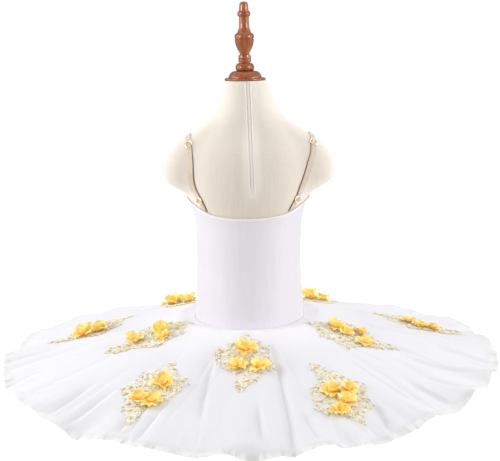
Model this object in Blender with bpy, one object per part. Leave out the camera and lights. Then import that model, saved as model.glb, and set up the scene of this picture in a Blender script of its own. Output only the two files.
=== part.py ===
"""A child's ballet tutu on a limbless dress form with a turned wooden stand.

The garment's back faces -Y and its front +Y.  The origin is on the floor, under
the middle of the stand's base.  Heights in the tables are millimetres above the
level of the skirt's rim, and a "turn" is an angle about the vertical in degrees:
0 at the centre back, 90 at the right side of the view from behind, 180 in front.
"""

import math

import bmesh
import bpy
from mathutils import Vector
from mathutils.bvhtree import BVHTree
from mathutils.geometry import delaunay_2d_cdt

MM = 0.001
FAR = 400.0              # a ray's start, well outside every surface

# ---- driving dimensions -------------------------------------------------------
RIM_LEVEL = 600.0        # height of the skirt's rim at the sides, above the floor
SEAM_GAP = 0.3           # clearance between two pieces that touch
EASE = 0.8               # clearance between the form and the cloth on it
BODICE_WALL = 1.6        # doubled stretch cloth
NET_WALL = 1.2           # one pressed layer of gathered net

BODY_COLUMNS = 36        # facets round the form and the bodice
ARM_STARTS = 0.866       # share of the half width where the arm stubs begin

# The form's level sections, bottom to top.  Where the arm stubs stand out, the
# trunk is narrower than the whole half width and a stub has its own half depth.
# Forward moves the section towards the front.
BODY_SECTIONS = (
    # height, half_width, half_depth, trunk, arm_depth, forward
    (-56.0, 86.0, 74.0, 86.0, 0.0, 0.0),
    (-50.0, 98.0, 85.0, 98.0, 0.0, 0.0),
    (-36.0, 105.0, 92.0, 105.0, 0.0, 0.0),
    (0.0, 107.5, 94.5, 107.5, 0.0, 0.0),
    (77.5, 102.5, 90.0, 102.5, 0.0, 0.0),
    (97.0, 97.0, 86.0, 97.0, 0.0, 0.0),
    (118.0, 94.3, 82.0, 94.3, 0.0, 0.0),
    (140.0, 92.6, 79.0, 92.6, 0.0, 0.0),
    (170.0, 91.6, 77.0, 91.6, 0.0, 0.0),
    (205.0, 91.6, 77.0, 91.6, 0.0, 0.0),
    (240.0, 92.6, 79.0, 92.6, 0.0, 1.0),
    (258.0, 95.6, 81.0, 95.6, 0.0, 1.5),
    (269.0, 99.5, 82.0, 99.5, 0.0, 2.0),
    (280.0, 104.5, 83.0, 103.5, 0.0, 2.5),
    (290.0, 112.0, 84.0, 106.5, 20.0, 3.0),
    (300.0, 129.5, 84.5, 108.5, 29.0, 3.5),
    (311.0, 144.5, 85.0, 109.5, 35.0, 4.0),
    (325.0, 149.0, 85.0, 110.0, 38.0, 4.0),
    (343.0, 147.0, 83.0, 109.0, 38.0, 4.5),
    (358.0, 140.5, 79.0, 106.0, 35.0, 5.0),
    (371.0, 132.0, 73.0, 100.0, 31.0, 5.5),
    (384.0, 118.5, 65.0, 92.0, 28.0, 6.0),
    (396.0, 103.0, 58.0, 84.0, 26.0, 6.5),
    (407.0, 84.0, 53.5, 74.0, 25.0, 7.0),
    (418.0, 67.5, 51.0, 66.0, 22.0, 7.5),
    (429.0, 57.0, 49.0, 57.0, 0.0, 8.0),
    (447.0, 48.5, 45.5, 48.5, 0.0, 8.0),
    (465.0, 43.5, 42.3, 43.5, 0.0, 8.0),
    (485.3, 38.0, 37.7, 38.0, 0.0, 8.0),
)
NECK_FORWARD = 8.0

# ---- bodice -------------------------------------------------------------------
BODICE_BOTTOM = 77.5
BODICE_ROWS = (BODICE_BOTTOM, 97.0, 118.0, 140.0, 170.0, 205.0, 240.0)
LAST_ROW_SHARE = 0.6     # where the row before the top edge lies
BINDING_HEIGHT = 5.0
BINDING_WALL = 2.4
# The finished top edge: low across the back, under the arms, two peaks in front.
TOP_EDGE = (
    # turn, height
    (0.0, 256.0), (20.0, 257.0), (40.0, 261.0), (50.0, 266.5), (60.0, 271.5),
    (80.0, 281.5), (90.0, 284.0), (100.0, 285.0), (120.0, 290.0), (140.0, 305.0),
    (152.0, 314.0), (165.0, 309.0), (180.0, 302.0),
)
BODICE_PANELS = (
    # name, first_turn, last_turn
    ("bodice_back_left", -50.0, 0.0),
    ("bodice_back_right", 0.0, 50.0),
    ("bodice_side_right", 50.0, 110.0),
    ("bodice_front", 110.0, 250.0),
    ("bodice_side_left", 250.0, 310.0),
)
PANEL_STEP = 10.0        # degrees between a panel's columns
WAIST_RADIUS = 80.0

# ---- knickers: the hip yoke that the net is sewn to ------------------------------
YOKE_TOP = BODICE_BOTTOM - SEAM_GAP
YOKE_ROWS = (YOKE_TOP, 0.0)
LEG_LINE = 18.0          # mean depth of the lower edge below the rim level
LEG_CURVE = 14.0         # how far it dips at the centres and rises at the sides

# ---- skirt ----------------------------------------------------------------------
SKIRT_RISE = 74.5        # height of the top net where it leaves the yoke
CONE_START = 105.0       # radius from which the cone is measured
CONE_FALL = 0.28         # fall for each millimetre outward at the back and front
SIDE_LIFT = 0.06         # how much less it falls at the sides
WAVES_START = 360.0      # radius where the rim's waves begin
TOP_RIM = 440.0
# Waves of the rim: a ridge where the rise is positive, a trough where negative.
RIM_WAVES = (
    # turn, half_spread, rise
    (-171.0, 6.0, -4.0), (-162.0, 5.0, 4.0), (-152.0, 6.0, -3.0), (-141.0, 6.0, 5.0),
    (-128.0, 6.0, 4.0), (-117.0, 6.0, -4.0), (-105.0, 5.0, 3.0), (-97.0, 5.0, -9.0),
    (-86.0, 6.0, 5.0), (-76.0, 6.0, -4.0), (-67.0, 7.0, -10.0), (-53.0, 6.0, 3.0),
    (-37.0, 8.0, -11.0), (-24.0, 5.0, 3.0), (-11.0, 5.0, -6.0), (-5.0, 4.0, 3.0),
    (5.0, 5.0, -4.0), (13.5, 5.0, 7.0), (26.0, 5.0, -7.0), (38.5, 6.0, 8.0),
    (47.0, 4.0, -4.0), (55.0, 7.0, 14.0), (66.0, 5.0, 14.0), (79.0, 6.0, -7.0),
    (92.0, 5.0, 4.0), (101.5, 5.0, -8.0), (114.0, 6.0, 4.0), (126.0, 6.0, -4.0),
    (138.0, 6.0, 3.0), (149.0, 6.0, -5.0), (160.0, 5.0, 4.0), (170.0, 6.0, -3.0),
    (180.0, 4.0, 4.0),
)
# Long soft creases that run in from the rim between the appliques.
CREASES = (
    # turn, half_spread, inner_radius, depth
    (-165.0, 4.0, 310.0, 3.0), (-131.25, 4.0, 310.0, 3.0), (-93.75, 4.0, 240.0, 3.0),
    (-78.75, 4.0, 310.0, 3.0), (-48.75, 4.0, 310.0, 3.5), (-15.0, 4.0, 240.0, 3.5),
    (0.0, 4.0, 310.0, 3.0), (11.25, 4.0, 240.0, 3.5), (48.75, 4.0, 310.0, 3.0),
    (63.75, 4.0, 310.0, 3.5), (82.5, 4.0, 310.0, 3.0), (93.75, 4.0, 240.0, 3.0),
    (127.5, 4.0, 310.0, 3.0), (161.25, 4.0, 310.0, 3.0),
)
NET_LAYERS = (
    # name, columns, radii of its rows, height at the yoke, drop at the rim,
    # gathers of its own, their height
    ("net_layer_1_top", 96, (170.0, 240.0, 310.0, 360.0, 440.0), 74.5, 0.0, 0, 0.0),
    ("net_layer_2", 96, (240.0, 360.0, 424.0), 62.5, 3.2, 0, 0.0),
    ("net_layer_3", 48, (240.0, 360.0), 49.5, 12.5, 16, 1.2),
    ("net_layer_4_short", 48, (180.0, 250.0), 34.5, 25.0, 16, 2.5),
)

# ---- appliques ------------------------------------------------------------------
LACE_LIFT = 1.15         # lace above the net, measured on the net's facets
LACE_WALL = 1.2
VEIN_RISE = 0.8          # the raised rib along the middle of the lace
# The spade-shaped edge from its blunt tip to its tail, with its lobes.
LACE_EDGE = (
    # along, half width on the left, half width on the right
    (-78.0, 0.0, 0.0), (-62.0, 9.0, 9.0), (-46.0, 26.0, 36.0), (-36.0, 42.0, 35.0),
    (-26.0, 48.0, 36.0), (-12.0, 44.0, 42.0), (4.0, 42.0, 50.0), (14.0, 34.0, 42.0),
    (24.0, 24.0, 33.0), (34.0, 13.0, 29.0), (46.0, 7.0, 24.0), (62.0, 6.0, 15.0),
    (82.0, 0.0, 0.0),
)
# Gaps between the sprigs.
LACE_GAPS = (
    # along, across, length, width, lean
    (-55.0, 0.0, 12.0, 6.5, 0.0),
    (-31.0, -31.0, 15.0, 8.0, -60.0),
    (-33.0, 21.0, 13.0, 8.0, 60.0),
    (-3.0, -29.0, 15.0, 8.0, -78.0),
    (-3.0, 33.0, 17.0, 8.0, 78.0),
    (23.0, -12.0, 12.0, 8.0, -125.0),
    (24.0, 22.0, 13.0, 8.0, 125.0),
    (59.0, 5.0, 12.0, 6.5, 0.0),
)
VEIN_POINTS = (-40.0, -18.0, 4.0, 26.0, 44.0)
APPLIQUES = (
    # turn, radius, flip, mirror, lean, flowers_along, flowers_across
    (-3.0, 206.0, 1, 1, -2.0, -2.0, 3.0),
    (61.0, 199.0, 1, -1, 12.0, -9.0, -8.0),
    (140.0, 195.0, 1, 1, 0.0, -6.0, 0.0),
    (-140.0, 195.0, 1, -1, 0.0, -6.0, 0.0),
    (-63.5, 192.0, 1, 1, -5.0, -10.0, 2.0),
    (25.0, 315.0, -1, 1, 0.0, -22.0, -4.0),
    (101.0, 318.0, 1, -1, -27.0, -4.0, 9.0),
    (180.0, 315.0, 1, 1, 0.0, -6.0, 0.0),
    (-98.0, 297.0, 1, 1, 36.0, -5.0, 7.0),
    (-30.0, 311.0, 1, -1, 10.0, 4.0, -8.0),
)
# The three flowers of one applique, before they are shifted.
FLOWERS = (
    # along, across, spin
    (-24.0, 4.0, 10.0),
    (22.0, -14.0, 50.0),
    (26.0, 22.0, 85.0),
)
PETALS = 5
FLOWER_BASE = 6.0        # radius of a flower's root
BASE_WALL = 1.0          # the net that fuses the three roots
BASE_MARGIN = 11.0       # radius of that net round each root
MARGIN_TURNS = (-55.0, 0.0, 55.0)    # its outline's three points round each root
PETAL_NOTCH = (11.0, 6.0)        # radius and height where two petals part
PETAL_TIPS = (               # radius and height of each petal's tip
    (18.5, 12.0), (17.0, 8.5), (18.5, 13.0), (16.5, 9.5), (18.0, 10.5),
)
PETAL_WALL = 1.2
PETAL_INSET = 0.7        # the inner rim's step towards the middle
CUP_FLOOR = (4.0, 2.6)   # radius and height of the inside of the cup

# ---- straps ---------------------------------------------------------------------
STRAP_WIDTH = 9.0
STRAP_WALL = 1.2
STRAP_LIFT = 1.3         # over the form's facets
STRAP_STATIONS = 20
SHOULDER_AXIS = (4.0, 300.0)     # forward, height: the strap turns about this line
# How far out from the middle a strap runs on its way over the shoulder.
STRAP_ROUTE = (
    # angle from the back, distance from the middle
    (-30.0, 72.5), (0.0, 81.0), (35.0, 95.0), (65.0, 102.0), (90.0, 103.0),
    (115.0, 100.0), (145.0, 86.0), (172.0, 67.0),
)
RING_HEIGHT = 283.0      # where the strap and its short tab meet in the ring
STRAP_BACK_END = 266.6
STRAP_FRONT_END = 314.9
RING_GAP = 0.8           # degrees of the route left free on each side of the ring
TAB_STATIONS = 3
BACK_ANGLES = (-30.0, 80.0)      # stretches of the route where heights are searched
FRONT_ANGLES = (179.0, 100.0)
HALVINGS = 24
FRAME_REACH = 4.0        # degrees each way over which a fitting takes its direction
SLIDER_HEIGHT = 378.0
SLIDER_SIZE = (13.0, 10.0, 1.4)  # across, along, thick
SLIDER_SLOT = (9.6, 2.4)         # across, along, each of the two slots
RING_RADII = (7.4, 5.2)          # outside, inside
RING_WALL = 1.4
RING_LIFT = 0.7          # the ring rides over the two folded ends it joins
RING_SIDES = 10

# ---- zip tape on the back of the form ---------------------------------------------
TAPE_OFFSET = 6.5        # to the right of the middle
TAPE_WIDTH = 13.0
TAPE_WALL = 0.8
TAPE_LIFT = 0.7
TAPE_ENDS = (292.0, 480.0)

# ---- turned wood ------------------------------------------------------------------
CAP_PROFILE = (
    # height, radius
    (485.6, 0.0), (485.6, 35.5), (489.2, 35.5), (490.2, 30.5), (493.0, 28.6),
    (497.0, 25.5), (500.0, 20.0), (501.5, 17.5), (501.5, 0.0),
)
FINIAL_PROFILE = (
    # height, radius
    (501.8, 0.0), (501.8, 14.6), (506.0, 15.8), (511.5, 15.0), (515.4, 11.0),
    (517.0, 10.2), (523.0, 10.7), (528.6, 10.0), (530.6, 8.2), (537.0, 11.4),
    (544.0, 14.2), (552.0, 16.2), (561.0, 17.0), (566.0, 14.6), (570.0, 11.2),
    (577.0, 8.8), (593.0, 8.0), (596.0, 10.3), (599.5, 10.9), (603.0, 9.6),
    (605.5, 7.8), (614.0, 7.2), (618.0, 4.6), (619.0, 0.0),
)
POLE_RADIUS = 12.5
# The base's profile is measured from the floor.
BASE_PROFILE = (
    (0.0, 0.0), (0.0, 146.0), (3.0, 150.0), (12.0, 150.0), (17.0, 144.0),
    (21.0, 128.0), (24.0, 60.0), (30.0, 34.0), (40.0, 24.0), (46.0, 20.0), (46.0, 0.0),
)

# ---- finishes: colour, roughness, metallic -------------------------------------------
FORM_CLOTH = ("form_cloth", (0.80, 0.72, 0.62, 1.0), 0.80, 0.0)
BODICE_CLOTH = ("bodice_cloth", (0.90, 0.89, 0.92, 1.0), 0.55, 0.0)
BINDING_CLOTH = ("binding_cloth", (0.93, 0.88, 0.89, 1.0), 0.50, 0.0)
NET = ("net", (0.93, 0.93, 0.95, 1.0), 0.85, 0.0)
LACE = ("lace", (0.84, 0.74, 0.52, 1.0), 0.45, 0.15)
FLOWER_CLOTH = ("organza", (0.98, 0.66, 0.16, 1.0), 0.50, 0.0)
SATIN = ("strap_satin", (0.66, 0.54, 0.43, 1.0), 0.40, 0.0)
GILT = ("gilt_metal", (0.80, 0.60, 0.30, 1.0), 0.25, 1.0)
WOOD = ("red_brown_wood", (0.38, 0.14, 0.06, 1.0), 0.35, 0.0)


def clear_scene():
    """Remove every object of the open file."""
    for thing in list(bpy.data.objects):
        bpy.data.objects.remove(thing, do_unlink=True)


def finish_material(finish):
    """Make a Principled material from a finish row."""
    name, colour, roughness, metallic = finish
    material = bpy.data.materials.new(name)
    material.use_nodes = True
    shader = material.node_tree.nodes["Principled BSDF"]
    shader.inputs["Base Color"].default_value = colour
    shader.inputs["Roughness"].default_value = roughness
    shader.inputs["Metallic"].default_value = metallic
    return material


def add_object(name, bm, finish, crease=35.0):
    """Turn a bmesh in millimetres into a named object in metres, shaded smooth."""
    bmesh.ops.recalc_face_normals(bm, faces=bm.faces)
    bmesh.ops.scale(bm, vec=(MM, MM, MM), verts=bm.verts)
    mesh = bpy.data.meshes.new(name)
    bm.to_mesh(mesh)
    bm.free()
    mesh.shade_smooth()
    mesh.set_sharp_from_angle(angle=math.radians(crease))
    thing = bpy.data.objects.new(name, mesh)
    mesh.materials.append(finish_material(finish))
    bpy.context.scene.collection.objects.link(thing)
    return thing


def interpolate(table, key):
    """Read a table whose first column rises, straight between its rows."""
    if key <= table[0][0]:
        return table[0][1:]
    for low, high in zip(table, table[1:]):
        if key <= high[0]:
            share = (key - low[0]) / (high[0] - low[0])
            return tuple(a + (b - a) * share for a, b in zip(low[1:], high[1:]))
    return table[-1][1:]


def folded_turn(turn):
    """The same turn between -180 and 180."""
    return (turn + 180.0) % 360.0 - 180.0


def section_point(section, turn, out):
    """A point of one of the form's level sections, moved out of its surface."""
    height, width, depth, trunk, arm_depth, forward = section
    side = math.sin(math.radians(turn))
    back = math.cos(math.radians(turn))
    stub = max(0.0, (abs(side) - ARM_STARTS) / (1.0 - ARM_STARTS))
    across = trunk * side + math.copysign((width - trunk) * stub ** 2, side)
    reach = max(depth * abs(back), arm_depth * math.sqrt(1.0 - stub ** 4))
    normal = Vector((side / trunk, -back / depth, 0.0)).normalized()
    place = Vector((across, forward - math.copysign(reach, back), RIM_LEVEL + height))
    return place + normal * out


def body_point(height, turn, out=0.0):
    """A point of the form at a height, straight between its sections."""
    for low, high in zip(BODY_SECTIONS, BODY_SECTIONS[1:]):
        if height <= high[0]:
            share = (height - low[0]) / (high[0] - low[0])
            below, above = section_point(low, turn, out), section_point(high, turn, out)
            return below.lerp(above, share)
    return section_point(BODY_SECTIONS[-1], turn, out)


def add_rows(bm, rows, closed):
    """Quads between rows of points, each row joined end to end if it is closed."""
    made = [[bm.verts.new(point) for point in row] for row in rows]
    count = len(rows[0])
    for low, high in zip(made, made[1:]):
        for step in range(count if closed else count - 1):
            after = (step + 1) % count
            bm.faces.new((low[step], low[after], high[after], high[step]))
    return made


def join_rows(bm, one, other, closed):
    """Quads between two rows that are already made."""
    count = len(one)
    for step in range(count if closed else count - 1):
        after = (step + 1) % count
        bm.faces.new((one[step], one[after], other[after], other[step]))


def cloth_wall(outer, inner, closed):
    """A cloth wall between an outer and an inner sheet of rows of points."""
    bm = bmesh.new()
    outside = add_rows(bm, outer, closed)
    inside = add_rows(bm, inner, closed)
    join_rows(bm, outside[0], inside[0], closed)
    join_rows(bm, outside[-1], inside[-1], closed)
    if not closed:
        for end in (0, -1):
            join_rows(bm, [row[end] for row in outside], [row[end] for row in inside], False)
    bmesh.ops.triangulate(bm, faces=bm.faces, quad_method="FIXED")
    return bm


def turned_piece(name, profile, sides, forward, finish, base=RIM_LEVEL):
    """A piece turned on a lathe from a profile of heights and radii."""
    bm = bmesh.new()
    points = [bm.verts.new((radius, 0.0, base + height)) for height, radius in profile]
    edges = [bm.edges.new(pair) for pair in zip(points, points[1:])]
    bmesh.ops.spin(
        bm, geom=points + edges, cent=(0.0, 0.0, 0.0), axis=(0.0, 0.0, 1.0),
        angle=math.tau, steps=sides, use_merge=True, use_duplicate=False,
    )
    bmesh.ops.remove_doubles(bm, verts=bm.verts, dist=0.001)
    bmesh.ops.translate(bm, vec=(0.0, forward, 0.0), verts=bm.verts)
    return add_object(name, bm, finish)


def surface_tree(thing):
    """A search tree over an object's facets, for laying pieces on it."""
    bm = bmesh.new()
    bm.from_mesh(thing.data)
    bmesh.ops.scale(bm, vec=(1 / MM, 1 / MM, 1 / MM), verts=bm.verts)
    tree = BVHTree.FromBMesh(bm)
    bm.free()
    return tree


# ---- dress form and stand -----------------------------------------------------------

def make_torso():
    """The padded torso: one loft from its flat bottom to the top of the neck."""
    bm = bmesh.new()
    step = 360.0 / BODY_COLUMNS
    rows = [
        [body_point(row[0], column * step) for column in range(BODY_COLUMNS)]
        for row in BODY_SECTIONS
    ]
    made = add_rows(bm, rows, True)
    bm.faces.new(made[0])
    bm.faces.new(made[-1])
    bmesh.ops.triangulate(bm, faces=bm.faces, quad_method="FIXED")
    return add_object("form_torso", bm, FORM_CLOTH)


def make_zip_tape(torso_tree):
    """The tape of the form's back zip, laid on the back of the torso."""
    levels = [row[0] for row in BODY_SECTIONS if TAPE_ENDS[0] < row[0] < TAPE_ENDS[1]]
    inner, outer = [], []
    for height in (TAPE_ENDS[0], *levels, TAPE_ENDS[1]):
        row = []
        for side in (-0.5, 0.0, 0.5):
            start = Vector((TAPE_OFFSET + side * TAPE_WIDTH, -FAR, RIM_LEVEL + height))
            row.append(torso_tree.ray_cast(start, Vector((0.0, 1.0, 0.0)))[0])
        inner.append([point - Vector((0.0, TAPE_LIFT, 0.0)) for point in row])
        outer.append([point - Vector((0.0, TAPE_LIFT + TAPE_WALL, 0.0)) for point in row])
    return add_object("form_zip_tape", cloth_wall(outer, inner, False), FORM_CLOTH)


def make_stand():
    """The turned neck cap, finial, pole and base."""
    turned_piece("neck_cap", CAP_PROFILE, 24, NECK_FORWARD, WOOD)
    turned_piece("finial", FINIAL_PROFILE, 18, NECK_FORWARD, WOOD)
    pole_top = RIM_LEVEL + BODY_SECTIONS[0][0] - SEAM_GAP
    pole_bottom = BASE_PROFILE[-1][0] + SEAM_GAP
    pole = (
        (pole_bottom, 0.0), (pole_bottom, POLE_RADIUS), (pole_top, POLE_RADIUS), (pole_top, 0.0),
    )
    turned_piece("stand_pole", pole, 20, 0.0, WOOD, base=0.0)
    turned_piece("stand_base", BASE_PROFILE, 28, 0.0, WOOD, base=0.0)


# ---- bodice and knickers --------------------------------------------------------------

def top_edge(turn):
    """Height of the bodice's finished top edge."""
    return interpolate(TOP_EDGE, abs(folded_turn(turn)))[0]


def panel_turns(first, last):
    """Columns of a panel, with half a seam gap taken off each end."""
    steps = round((last - first) / PANEL_STEP)
    trim = math.degrees(0.5 * SEAM_GAP / WAIST_RADIUS)
    turns = [first + step * PANEL_STEP for step in range(steps + 1)]
    turns[0] += trim
    turns[-1] -= trim
    return turns


def make_bodice_panel(name, first, last):
    """One cut panel of the bodice, from the waist seam to below the binding."""
    rows = []
    for number in range(len(BODICE_ROWS) + 2):
        row = []
        for turn in panel_turns(first, last):
            top = top_edge(turn) - BINDING_HEIGHT - SEAM_GAP
            between = BODICE_ROWS[-1] + LAST_ROW_SHARE * (top - BODICE_ROWS[-1])
            heights = BODICE_ROWS + (between, top)
            row.append((heights[number], turn))
        rows.append(row)
    inner = [[body_point(height, turn, EASE) for height, turn in row] for row in rows]
    outer = [
        [body_point(height, turn, EASE + BODICE_WALL) for height, turn in row] for row in rows
    ]
    return add_object(name, cloth_wall(outer, inner, False), BODICE_CLOTH)


def make_binding():
    """The narrow bound edge round the top of the bodice."""
    turns = [column * 360.0 / BODY_COLUMNS for column in range(BODY_COLUMNS)]
    inner = [
        [body_point(top_edge(turn) - drop, turn, EASE) for turn in turns]
        for drop in (BINDING_HEIGHT, 0.0)
    ]
    outer = [
        [body_point(top_edge(turn) - drop, turn, EASE + BINDING_WALL) for turn in turns]
        for drop in (BINDING_HEIGHT, 0.0)
    ]
    return add_object("bodice_binding", cloth_wall(outer, inner, True), BINDING_CLOTH)


def make_yoke():
    """The knickers' hip yoke, cut high at the legs; the nets are sewn to it."""
    turns = [column * 360.0 / BODY_COLUMNS for column in range(BODY_COLUMNS)]
    rows = [[(height, turn) for turn in turns] for height in YOKE_ROWS]
    leg = [-LEG_LINE - LEG_CURVE * math.cos(math.radians(2.0 * turn)) for turn in turns]
    rows.append(list(zip(leg, turns)))
    inner = [[body_point(height, turn, EASE) for height, turn in row] for row in rows]
    outer = [
        [body_point(height, turn, EASE + BODICE_WALL) for height, turn in row] for row in rows
    ]
    return add_object("knickers_yoke", cloth_wall(outer, inner, True), BODICE_CLOTH)


# ---- skirt ------------------------------------------------------------------------------

def bump(turn, centre, half_spread):
    """A rounded bump of height 1 about a turn."""
    away = abs(folded_turn(turn - centre))
    if away >= half_spread:
        return 0.0
    return 0.5 + 0.5 * math.cos(math.pi * away / half_spread)


def cone_height(radius, turn):
    """The plain slope of the top net."""
    fall = CONE_FALL - SIDE_LIFT * math.sin(math.radians(turn)) ** 2
    return SKIRT_RISE - fall * (radius - CONE_START)


def fold_height(radius, turn):
    """Rim waves and creases, which every long net shares."""
    share = max(0.0, (radius - WAVES_START) / (TOP_RIM - WAVES_START))
    height = share * sum(rise * bump(turn, at, spread) for at, spread, rise in RIM_WAVES)
    for at, spread, inner, depth in CREASES:
        reach = min(1.0, max(0.0, (radius - inner) / (WAVES_START - inner)))
        height -= depth * reach * bump(turn, at, spread)
    return height


def make_net(name, columns, radii, rise, drop, gathers, gather_height):
    """One ring of gathered net, sewn to the yoke and hanging below the one above."""
    sheet = []
    turns = [column * 360.0 / columns for column in range(columns)]
    sewn = BODICE_WALL + EASE + SEAM_GAP
    sheet.append([body_point(rise, turn, sewn) for turn in turns])
    first_drop = SKIRT_RISE - rise
    for radius in radii:
        share = (radius - CONE_START) / (radii[-1] - CONE_START)
        row = []
        for turn in turns:
            height = cone_height(radius, turn) - first_drop - (drop - first_drop) * share
            if gathers:
                height += gather_height * share * math.cos(math.radians(turn * gathers))
            else:
                height += fold_height(radius, turn)
            angle = math.radians(turn)
            across, back = radius * math.sin(angle), -radius * math.cos(angle)
            row.append(Vector((across, back, RIM_LEVEL + height)))
        sheet.append(row)
    under = [[point - Vector((0.0, 0.0, NET_WALL)) for point in row] for row in sheet]
    return add_object(name, cloth_wall(sheet, under, True), NET)


# ---- appliques -----------------------------------------------------------------------------

class Place:
    """Where an applique lies: it turns its own along and across into a point."""

    def __init__(self, row, net_tree):
        turn, radius, flip, mirror, lean, flowers_along, flowers_across = row
        angle, leaning = math.radians(turn), math.radians(turn + lean)
        self.out = Vector((math.sin(angle), -math.cos(angle), 0.0))
        self.middle = self.out * radius
        self.along = Vector((math.sin(leaning), -math.cos(leaning), 0.0)) * flip
        self.across = Vector((math.cos(leaning), math.sin(leaning), 0.0)) * mirror
        self.flowers = Vector((flowers_along, flowers_across))
        self.tree = net_tree

    def on_net(self, along, across, lift):
        """A point of the applique's plan, laid on the net's facets and lifted."""
        plan = self.middle + self.along * along + self.across * across
        start = Vector((plan.x, plan.y, RIM_LEVEL + FAR))
        hit = self.tree.ray_cast(start, Vector((0.0, 0.0, -1.0)))[0]
        return hit + Vector((0.0, 0.0, lift))

    def normal(self):
        """The slope's normal under the applique."""
        return (Vector((0.0, 0.0, 1.0)) + self.out * CONE_FALL).normalized()


def triangles_of(outline, islands, loose):
    """Triangulate an outline; also tell which triangles lie in which island."""
    points = [Vector(point) for point in outline]
    faces = [list(range(len(outline)))]
    for island in islands:
        faces.append(list(range(len(points), len(points) + len(island))))
        points += [Vector(point) for point in island]
    points += [Vector(point) for point in loose]
    flat, _, corners, _, _, origins = delaunay_2d_cdt(points, [], faces, 0, 1e-5)
    kept = [(face, owner) for face, owner in zip(corners, origins) if owner]
    return flat, kept


def thick_sheet(bm, lower, upper, triangles, skipped_above=()):
    """Close a flat triangulation between two sets of points into one wall."""
    low = [bm.verts.new(point) for point in lower]
    high = [bm.verts.new(point) for point in upper]
    rim = {}
    for corners in triangles:
        bm.faces.new([low[corner] for corner in corners])
        if corners not in skipped_above:
            bm.faces.new([high[corner] for corner in corners])
        for one, other in zip(corners, corners[1:] + corners[:1]):
            key = (min(one, other), max(one, other))
            rim[key] = rim.get(key, 0) + 1
    for (one, other), uses in rim.items():
        if uses == 1:
            bm.faces.new((low[one], low[other], high[other], high[one]))
    return high


def lace_outline():
    """The spray's whole edge, once round."""
    one_side = [(along, -left) for along, left, _ in LACE_EDGE]
    other_side = [(along, right) for along, _, right in reversed(LACE_EDGE[1:-1])]
    return one_side + other_side


def lace_gaps():
    """Every gap of one lace, as four corners each."""
    gaps = []
    for along, across, length, width, lean in LACE_GAPS:
        turn = math.radians(lean)
        reach = Vector((math.cos(turn), math.sin(turn))) * length * 0.5
        spread = Vector((-math.sin(turn), math.cos(turn))) * width * 0.5
        middle = Vector((along, across))
        gaps.append([middle - reach, middle - spread, middle + reach, middle + spread])
    return gaps


def make_lace(number, place):
    """One cut-through leaf of lace, laid on the net."""
    veins = [(along, 0.0) for along in VEIN_POINTS]
    flat, kept = triangles_of(lace_outline(), lace_gaps(), veins)
    triangles = [tuple(face) for face, owner in kept if owner == [0]]
    used = sorted({corner for face in triangles for corner in face})
    order = {corner: index for index, corner in enumerate(used)}
    triangles = [tuple(order[corner] for corner in face) for face in triangles]
    lower, upper = [], []
    for corner in used:
        along, across = flat[corner]
        inside = abs(across) < 1.0 and min(VEIN_POINTS) - 1.0 < along < max(VEIN_POINTS) + 1.0
        rib = VEIN_RISE if inside else 0.0
        lower.append(place.on_net(along, across, LACE_LIFT))
        upper.append(place.on_net(along, across, LACE_LIFT + LACE_WALL + rib))
    bm = bmesh.new()
    thick_sheet(bm, lower, upper, triangles)
    return add_object(f"lace_{number:02d}", bm, LACE)


def petal_ring(centre, axes, spin, inset, lift):
    """Notches and tips of a flower's rim, in turn, moved in and up by the wall."""
    side, back, up = axes
    ring = []
    for petal in range(PETALS):
        tip = PETAL_TIPS[petal]
        for step, (radius, height) in ((0.0, PETAL_NOTCH), (0.5, tip)):
            angle = math.radians(spin) + math.tau * (petal + step) / PETALS
            flat = side * math.cos(angle) + back * math.sin(angle)
            ring.append(centre + flat * (radius - inset) + up * (height + lift))
    return ring


def add_flower(bm, roots, centre, axes, spin):
    """Raise a cup of petals from a ring of root points."""
    side, back, up = axes
    outer = [bm.verts.new(point) for point in petal_ring(centre, axes, spin, 0.0, 0.0)]
    inner = [
        bm.verts.new(point)
        for point in petal_ring(centre, axes, spin, PETAL_INSET, PETAL_WALL)
    ]
    floor = []
    for petal in range(PETALS):
        angle = math.radians(spin) + math.tau * petal / PETALS
        flat = side * math.cos(angle) + back * math.sin(angle)
        floor.append(bm.verts.new(centre + flat * CUP_FLOOR[0] + up * CUP_FLOOR[1]))
    for petal in range(PETALS):
        after = (petal + 1) % PETALS
        notch, tip, next_notch = 2 * petal, 2 * petal + 1, 2 * after
        for ring, foot in ((outer, roots), (inner, floor)):
            bm.faces.new((foot[petal], foot[after], ring[next_notch], ring[notch]))
            bm.faces.new((ring[notch], ring[next_notch], ring[tip]))
    join_rows(bm, outer, inner, True)
    bm.faces.new(floor)


def cluster_outline(centres):
    """A margin round three flower roots, three points at each."""
    middle = sum(centres, Vector((0.0, 0.0))) / len(centres)
    outline = []
    for centre in sorted(centres, key=lambda c: math.atan2(c.y - middle.y, c.x - middle.x)):
        away = math.atan2(centre.y - middle.y, centre.x - middle.x)
        for swing in MARGIN_TURNS:
            angle = away + math.radians(swing)
            outline.append(centre + Vector((math.cos(angle), math.sin(angle))) * BASE_MARGIN)
    return outline


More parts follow.
